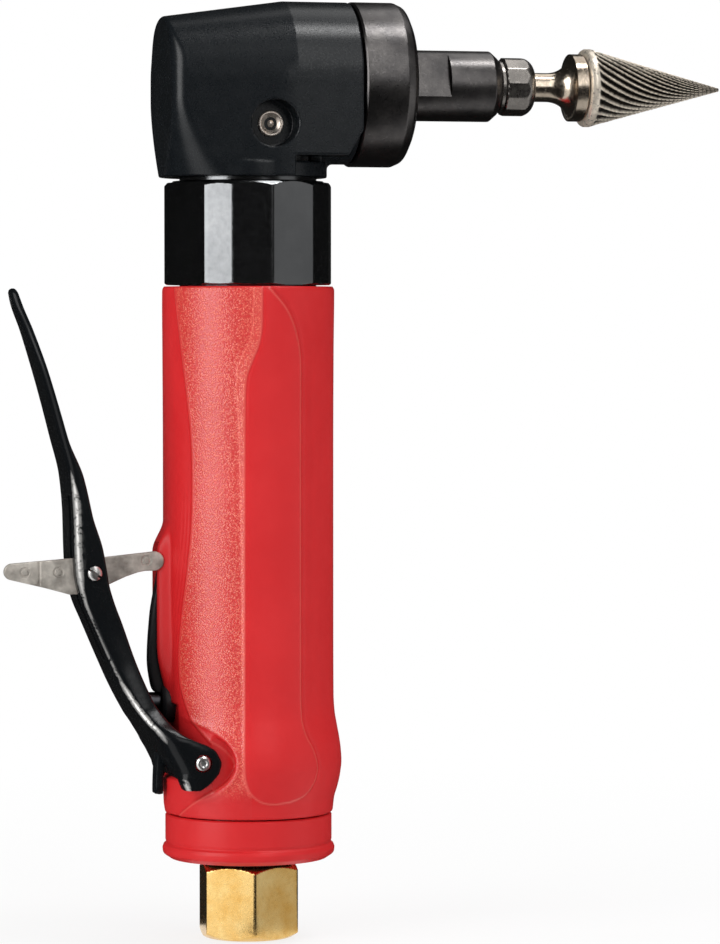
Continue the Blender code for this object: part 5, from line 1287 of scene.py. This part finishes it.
def add_spindle():
    """The stepped spindle with its wrench flats."""
    start, end, radius = along("spindle")
    nose_end = along("collet_nut")[0] - 0.3
    face = along("output_collar")[1] + 0.3
    profile = softened(
        [
            (0.0, start), (3.0, start), (3.0, start + 5.3), (3.4, start + 5.3), (3.4, 10.0), (5.0, 10.0),
            (5.0, face - 3.8), (6.1, face - 3.8), (6.1, face), (radius - 0.25, face), (radius, face + 0.25),
            (radius, nose_end - 1.5, 0.5), (radius - 1.3, nose_end), (4.85, nose_end), (4.85, end),
            (4.15, end), (4.15, start + 32.0), (0.0, start + 32.0),
        ],
        0.12,
    )
    flats = []
    for near, far in ((-20.0, -FLAT_HALF), (FLAT_HALF, 20.0)):
        flat = box_shape((face + 1.0, near, -12.0), (face + 8.6, far, 12.0))
        flats.append(lay(tilted(flat, FLAT_TILT, 1, 2), "Z", AT_SPINDLE))
    make_piece("spindle_nose", lay(turned(profile, 128), "X", AT_SPINDLE), 25.0, [gathered(flats)])


NUT_CORNER = math.radians(24.0)
NUT_CONE = 2.5


def add_nut():
    """The twelve-sided collet nut with a turned front cone."""
    start, end, size = along("collet_nut")
    angles = around(240)
    sector = (angles - NUT_CORNER) % (math.pi / 6) - math.pi / 12
    flats = np.minimum(size * math.cos(math.pi / 12) / np.cos(sector), size - 0.04)
    rows = [(5.0, start), (5.2, start), (5.4, start + 0.25), (5.4, start + 0.8)]
    for rise in (0.0, 0.08, 0.16, 0.26, 0.4, 0.6):
        rows.append((np.minimum(flats, 5.45 + 1.5 * rise), start + 0.85 + rise))
    rows.append((flats, end - NUT_CONE - 0.5))
    for share in np.linspace(0.0, 1.0, 16):
        reach = 3.9 + 2.2 * math.sqrt(max(1.0 - share**1.6, 0.0))
        rows.append((np.minimum(flats, reach), end - NUT_CONE * (1.0 - share)))
    rows += [(3.3, end), (3.3, end - 0.8), (4.9, end - 2.6)]
    make_piece("nose_nut", lay(skin(rings(rows, angles), closed=True), "X", AT_SPINDLE), 14.0)


SHANK_RADIUS = 3.0
NECK_LENGTH = 2.5
FLARE_SPREAD = 1.25


def add_burr_stem():
    """The burr's shank, which flares out to a collar behind the cone."""
    start, end, neck = along("burr_shank")
    flare = neck - SHANK_RADIUS
    foot = end - NECK_LENGTH - FLARE_SPREAD * flare
    profile = [(0.0, start), (SHANK_RADIUS - 0.3, start), (SHANK_RADIUS, start + 0.3), (SHANK_RADIUS, foot)]
    for turn in np.linspace(0.05, 1.0, 16) * math.pi / 2:
        radius = SHANK_RADIUS + flare * (1.0 - math.cos(turn))
        profile.append((radius, foot + FLARE_SPREAD * flare * math.sin(turn)))
    profile += [(neck, end - 0.15), (neck - 0.15, end), (0.0, end)]
    make_piece("burr_stem", lay(turned(profile, 96), "X", AT_SPINDLE), 30.0)


FLUTES = 26
FLUTE_TWIST = math.radians(4.2)
BREAKERS = 24
BREAKER_TWIST = -2.6 * FLUTE_TWIST
TOOTH_BACK = 0.7
CONE_START = 1.6


def add_burr_cone():
    """The burr's cone, with spiral flutes crossed by chip breakers."""
    start, end, size = along("burr_head")
    angles = around(FLUTES * 13)
    rows = [(0.0, start), (size - 0.6, start), (size - 0.2, start + 0.15)]
    rows += [(size, start + 0.5), (size, start + 1.5)]
    crest_light = [np.full(angles.shape, 0.6)] * len(rows)
    for share in np.linspace(0.01, 1.0, 170):
        rise = CONE_START + share * (end - start - CONE_START)
        cone = size + (0.35 - size) * share
        wave = (FLUTES * (angles - FLUTE_TWIST * rise) / FULL_TURN) % 1.0
        tooth = np.where(wave < TOOTH_BACK, wave / TOOTH_BACK, (1.0 - wave) / (1.0 - TOOTH_BACK))
        other = (BREAKERS * (angles - BREAKER_TWIST * rise) / FULL_TURN) % 1.0
        breaker = np.clip(1.0 - np.abs(other - 0.5) / 0.2, 0.0, 1.0) * (0.25 + 0.75 * ramp(0.25, 0.8, share))
        depth = min(0.85, 0.17 * cone) * ramp(0.0, 0.04, share)
        rows.append((np.maximum(cone - depth * (1.0 - tooth + 0.5 * breaker), 0.12), start + rise))
        # Mark for painted light: highest on the tooth crests (painted highlight), lowest in gullets and
        # breakers (painted shade).
        crest_light.append(tooth**2.4 * (1.0 - 0.8 * breaker))
    rows.append((0.0, end))
    crest_light = np.concatenate(crest_light + crest_light[-1:]).astype(np.float32)
    shape = lay(skin(rings(rows, angles)), "X", AT_SPINDLE)
    marks = {"finish_and_painted_light_mask": lambda mesh: nearest_values(mesh, shape[0], crest_light)}
    make_piece("burr_cone", shape, 30.0, marks=marks)


def nearest_values(mesh, points, values):
    """Values given at points, read at the mesh's own corners."""
    tree = KDTree(len(points))
    for index, point in enumerate((points + AXIS) * MM):
        tree.insert(point, index)
    tree.balance()
    return np.array([values[tree.find(corner.co)[1]] for corner in mesh.vertices], np.float32)


def add_button():
    """The valve plunger with its rounded button."""
    tip, end, radius = along("valve_plunger")
    turns = np.radians(np.arange(0, 91, 9))
    profile = [(radius * math.sin(t), tip + radius * (1.0 - math.cos(t))) for t in turns]
    profile += [(radius, end - 4.7), (radius - 0.9, end - 4.7), (radius - 0.9, end), (0.0, end)]
    make_piece("valve_button", lay(turned(profile, 48), "X", AT_VALVE))


# ---- stage


CAMERA_TURN = -104.0
CAMERA_LIFT = 2.1
CAMERA_DISTANCE = 0.850
CAMERA_LENS = 158.0
VIEW_CENTRE = Vector((AXIS[0] * MM, 0.0, 0.0)) + Vector((22.27, -5.55, 95.5)) * MM
AMBIENT = 0.45
PAPER = (0.82, 0.82, 0.82, 1.0)
WHITE = (1.0, 1.0, 1.0, 1.0)
# Azimuth and elevation in degrees, distance, width and height in metres, radiance and sideways
# shift in metres.
LAMPS = {
    "key": (-155.0, 16.0, 1.5, 0.90, 1.5, 3.4, 0.0),
    "overhead": (-78.0, 77.0, 1.3, 0.56, 0.26, 11.0, 0.36),
    "front": (-76.0, 33.0, 1.7, 0.42, 1.6, 2.1, 0.0),
    "right": (-33.0, 16.0, 2.0, 1.2, 1.7, 0.36, 0.0),
    "rim": (40.0, 60.0, 1.6, 1.0, 0.8, 1.2, 0.0),
    "behind": (80.0, 30.0, 1.8, 1.2, 1.0, 2.0, 0.0),
}
BLACK_CARD = 0.015
GREY_CARD = 0.55
CARD_NEAR = 0.02
CARD_FAR = 2.4
TENT_RADIUS = 2.6
TENT_LIFTS = np.radians([0.0, 15.0, 30.0, 45.0, 60.0, 75.0, 89.0])
# Azimuths between which each card lies on the floor.
FLOOR_CARDS = {
    "floor_card_front": (-132.0, -90.0),
    "floor_card_strip": (-90.0, -62.0),
    "floor_card_gap": (-62.0, -52.0),
    "floor_card_right": (-52.0, -13.0),
    "floor_card_back": (-13.0, 190.0),
}
FLOOR_HALF = 4.0
FLOOR_DROP = 0.0002


def face_tool(item, turn, lift, distance):
    """Put a camera or a lamp at an azimuth, an elevation and a distance, facing the tool."""
    turn, lift = math.radians(turn), math.radians(lift)
    direction = Vector((math.cos(turn) * math.cos(lift), math.sin(turn) * math.cos(lift), math.sin(lift)))
    item.location = VIEW_CENTRE + distance * direction
    item.rotation_mode = "QUATERNION"
    item.rotation_quaternion = direction.to_track_quat("Z", "Y")


def add_camera():
    """The camera, which looks at the tool's side from slightly above."""
    data = bpy.data.cameras.new("camera")
    data.lens = CAMERA_LENS
    data.sensor_width = 36.0
    data.clip_start = 0.05
    data.clip_end = 20.0
    camera = new_object("camera", data)
    face_tool(camera, CAMERA_TURN, CAMERA_LIFT, CAMERA_DISTANCE)
    bpy.context.scene.camera = camera


def add_softbox(name, turn, lift, distance, width, height, radiance, shift):
    """A rectangular lamp that faces the tool and is never seen directly."""
    data = bpy.data.lights.new(name, "AREA")
    data.shape = "RECTANGLE"
    data.size, data.size_y = width, height
    data.energy = radiance * math.pi * width * height
    lamp = new_object(name, data)
    face_tool(lamp, turn, lift, distance)
    lamp.location += lamp.rotation_quaternion @ Vector((shift, 0.0, 0.0))
    lamp.visible_camera = False
    return lamp


def stage_object(name, points, faces, material):
    """An object of the stage, from points in metres."""
    mesh = bpy.data.meshes.new(name)
    mesh.from_pydata(points, [], faces)
    mesh.materials.append(material)
    item = new_object(name, mesh)
    return item


def bare_material(name):
    """A material without nodes, and its tree."""
    material = bpy.data.materials.new(name)
    material.use_nodes = True
    material.node_tree.nodes.clear()
    return material, material.node_tree


def emitter(name, strength):
    """A material that only shines."""
    material, tree = bare_material(name)
    light = add_node(tree, "ShaderNodeEmission", color=WHITE, strength=strength)
    add_node(tree, "ShaderNodeOutputMaterial", light.outputs[0])
    return material


def floor_material():
    """White paper: plain white with the tool's soft shadow on it."""
    material, tree = bare_material("white_floor")
    paper = add_node(tree, "ShaderNodeBsdfDiffuse", color=PAPER)
    white = add_node(tree, "ShaderNodeEmission", color=WHITE, strength=1.0)
    ray = add_node(tree, "ShaderNodeLightPath").outputs
    direct = combine(tree, "MAXIMUM", ray["Is Camera Ray"], ray["Is Glossy Ray"])
    away = add_node(tree, "ShaderNodeVectorMath", own_space(tree), operation="LENGTH").outputs["Value"]
    share = combine(tree, "MULTIPLY", direct, levels(tree, away, 0.05, 0.32, 0.80, 1.0))
    mix = add_node(tree, "ShaderNodeMixShader", share, paper.outputs[0], white.outputs[0])
    add_node(tree, "ShaderNodeOutputMaterial", mix.outputs[0])
    return material


def add_world():
    """White for the camera, reflections and glass, and a softer grey for ambient light."""
    world = bpy.data.worlds.new("studio")
    bpy.context.scene.world = world
    world.use_nodes = True
    tree = world.node_tree
    back = tree.nodes["Background"]
    back.inputs["Color"].default_value = WHITE
    ray = add_node(tree, "ShaderNodeLightPath").outputs
    seen = combine(tree, "MAXIMUM", ray["Is Camera Ray"], ray["Is Glossy Ray"])
    seen = combine(tree, "MAXIMUM", seen, ray["Is Transmission Ray"])
    feed(tree, back, strength=levels(tree, seen, 0.0, 1.0, AMBIENT, 1.0))


def show_only_in_reflections(card):
    """Hide a card from the camera, from shadows and from soft light."""
    card.visible_camera = False
    card.visible_diffuse = False
    card.visible_shadow = False
    card.visible_transmission = False
    card.visible_volume_scatter = False


def add_tent(material):
    """A dark tent round the studio that only reflections see."""
    profile = [(TENT_RADIUS * math.cos(lift), TENT_RADIUS * math.sin(lift)) for lift in TENT_LIFTS]
    points, faces = turned(profile, 48)
    show_only_in_reflections(stage_object("dark_tent", points.tolist(), faces, material))


def add_floor_card(name, start, end, material):
    """A flat sector of card on the floor, between two azimuths round the handle."""
    turns = np.exp(1j * np.radians(np.linspace(start, end, 24)))
    edge = np.concatenate([CARD_NEAR * turns, CARD_FAR * turns[::-1]])
    points = [(AXIS[0] * MM + spot.real, spot.imag, 0.0) for spot in edge]
    show_only_in_reflections(stage_object(name, points, [list(range(len(points)))], material))


def add_stage():
    """Floor, world, lamps and cards."""
    half = FLOOR_HALF
    square = [(-half, -half, 0.0), (half, -half, 0.0), (half, half, 0.0), (-half, half, 0.0)]
    floor = stage_object("floor", square, [[0, 1, 2, 3]], floor_material())
    floor.location.z = -FLOOR_DROP
    add_world()
    lamps = {name: add_softbox(name, *setting) for name, setting in LAMPS.items()}
    lamps["behind"].visible_glossy = False
    black = emitter("card_black", BLACK_CARD)
    grey = emitter("card_grey", GREY_CARD)
    add_tent(black)
    for name, (start, end) in FLOOR_CARDS.items():
        add_floor_card(name, start, end, grey if name == "floor_card_right" else black)


# ---- everything


dress_frame()
add_head()
add_output_collar()
add_wrench_collar()
add_grip()
add_rib()
add_bezel()
add_cap()
add_inlet()
add_lever()
add_toe()
add_pivot_pin()
add_lock_pin()
add_lock_spring()
add_lock_plate()
add_spindle()
add_nut()
add_burr_stem()
add_burr_cone()
add_button()
add_camera()
add_stage()
bpy.context.scene.view_settings.view_transform = "Standard"
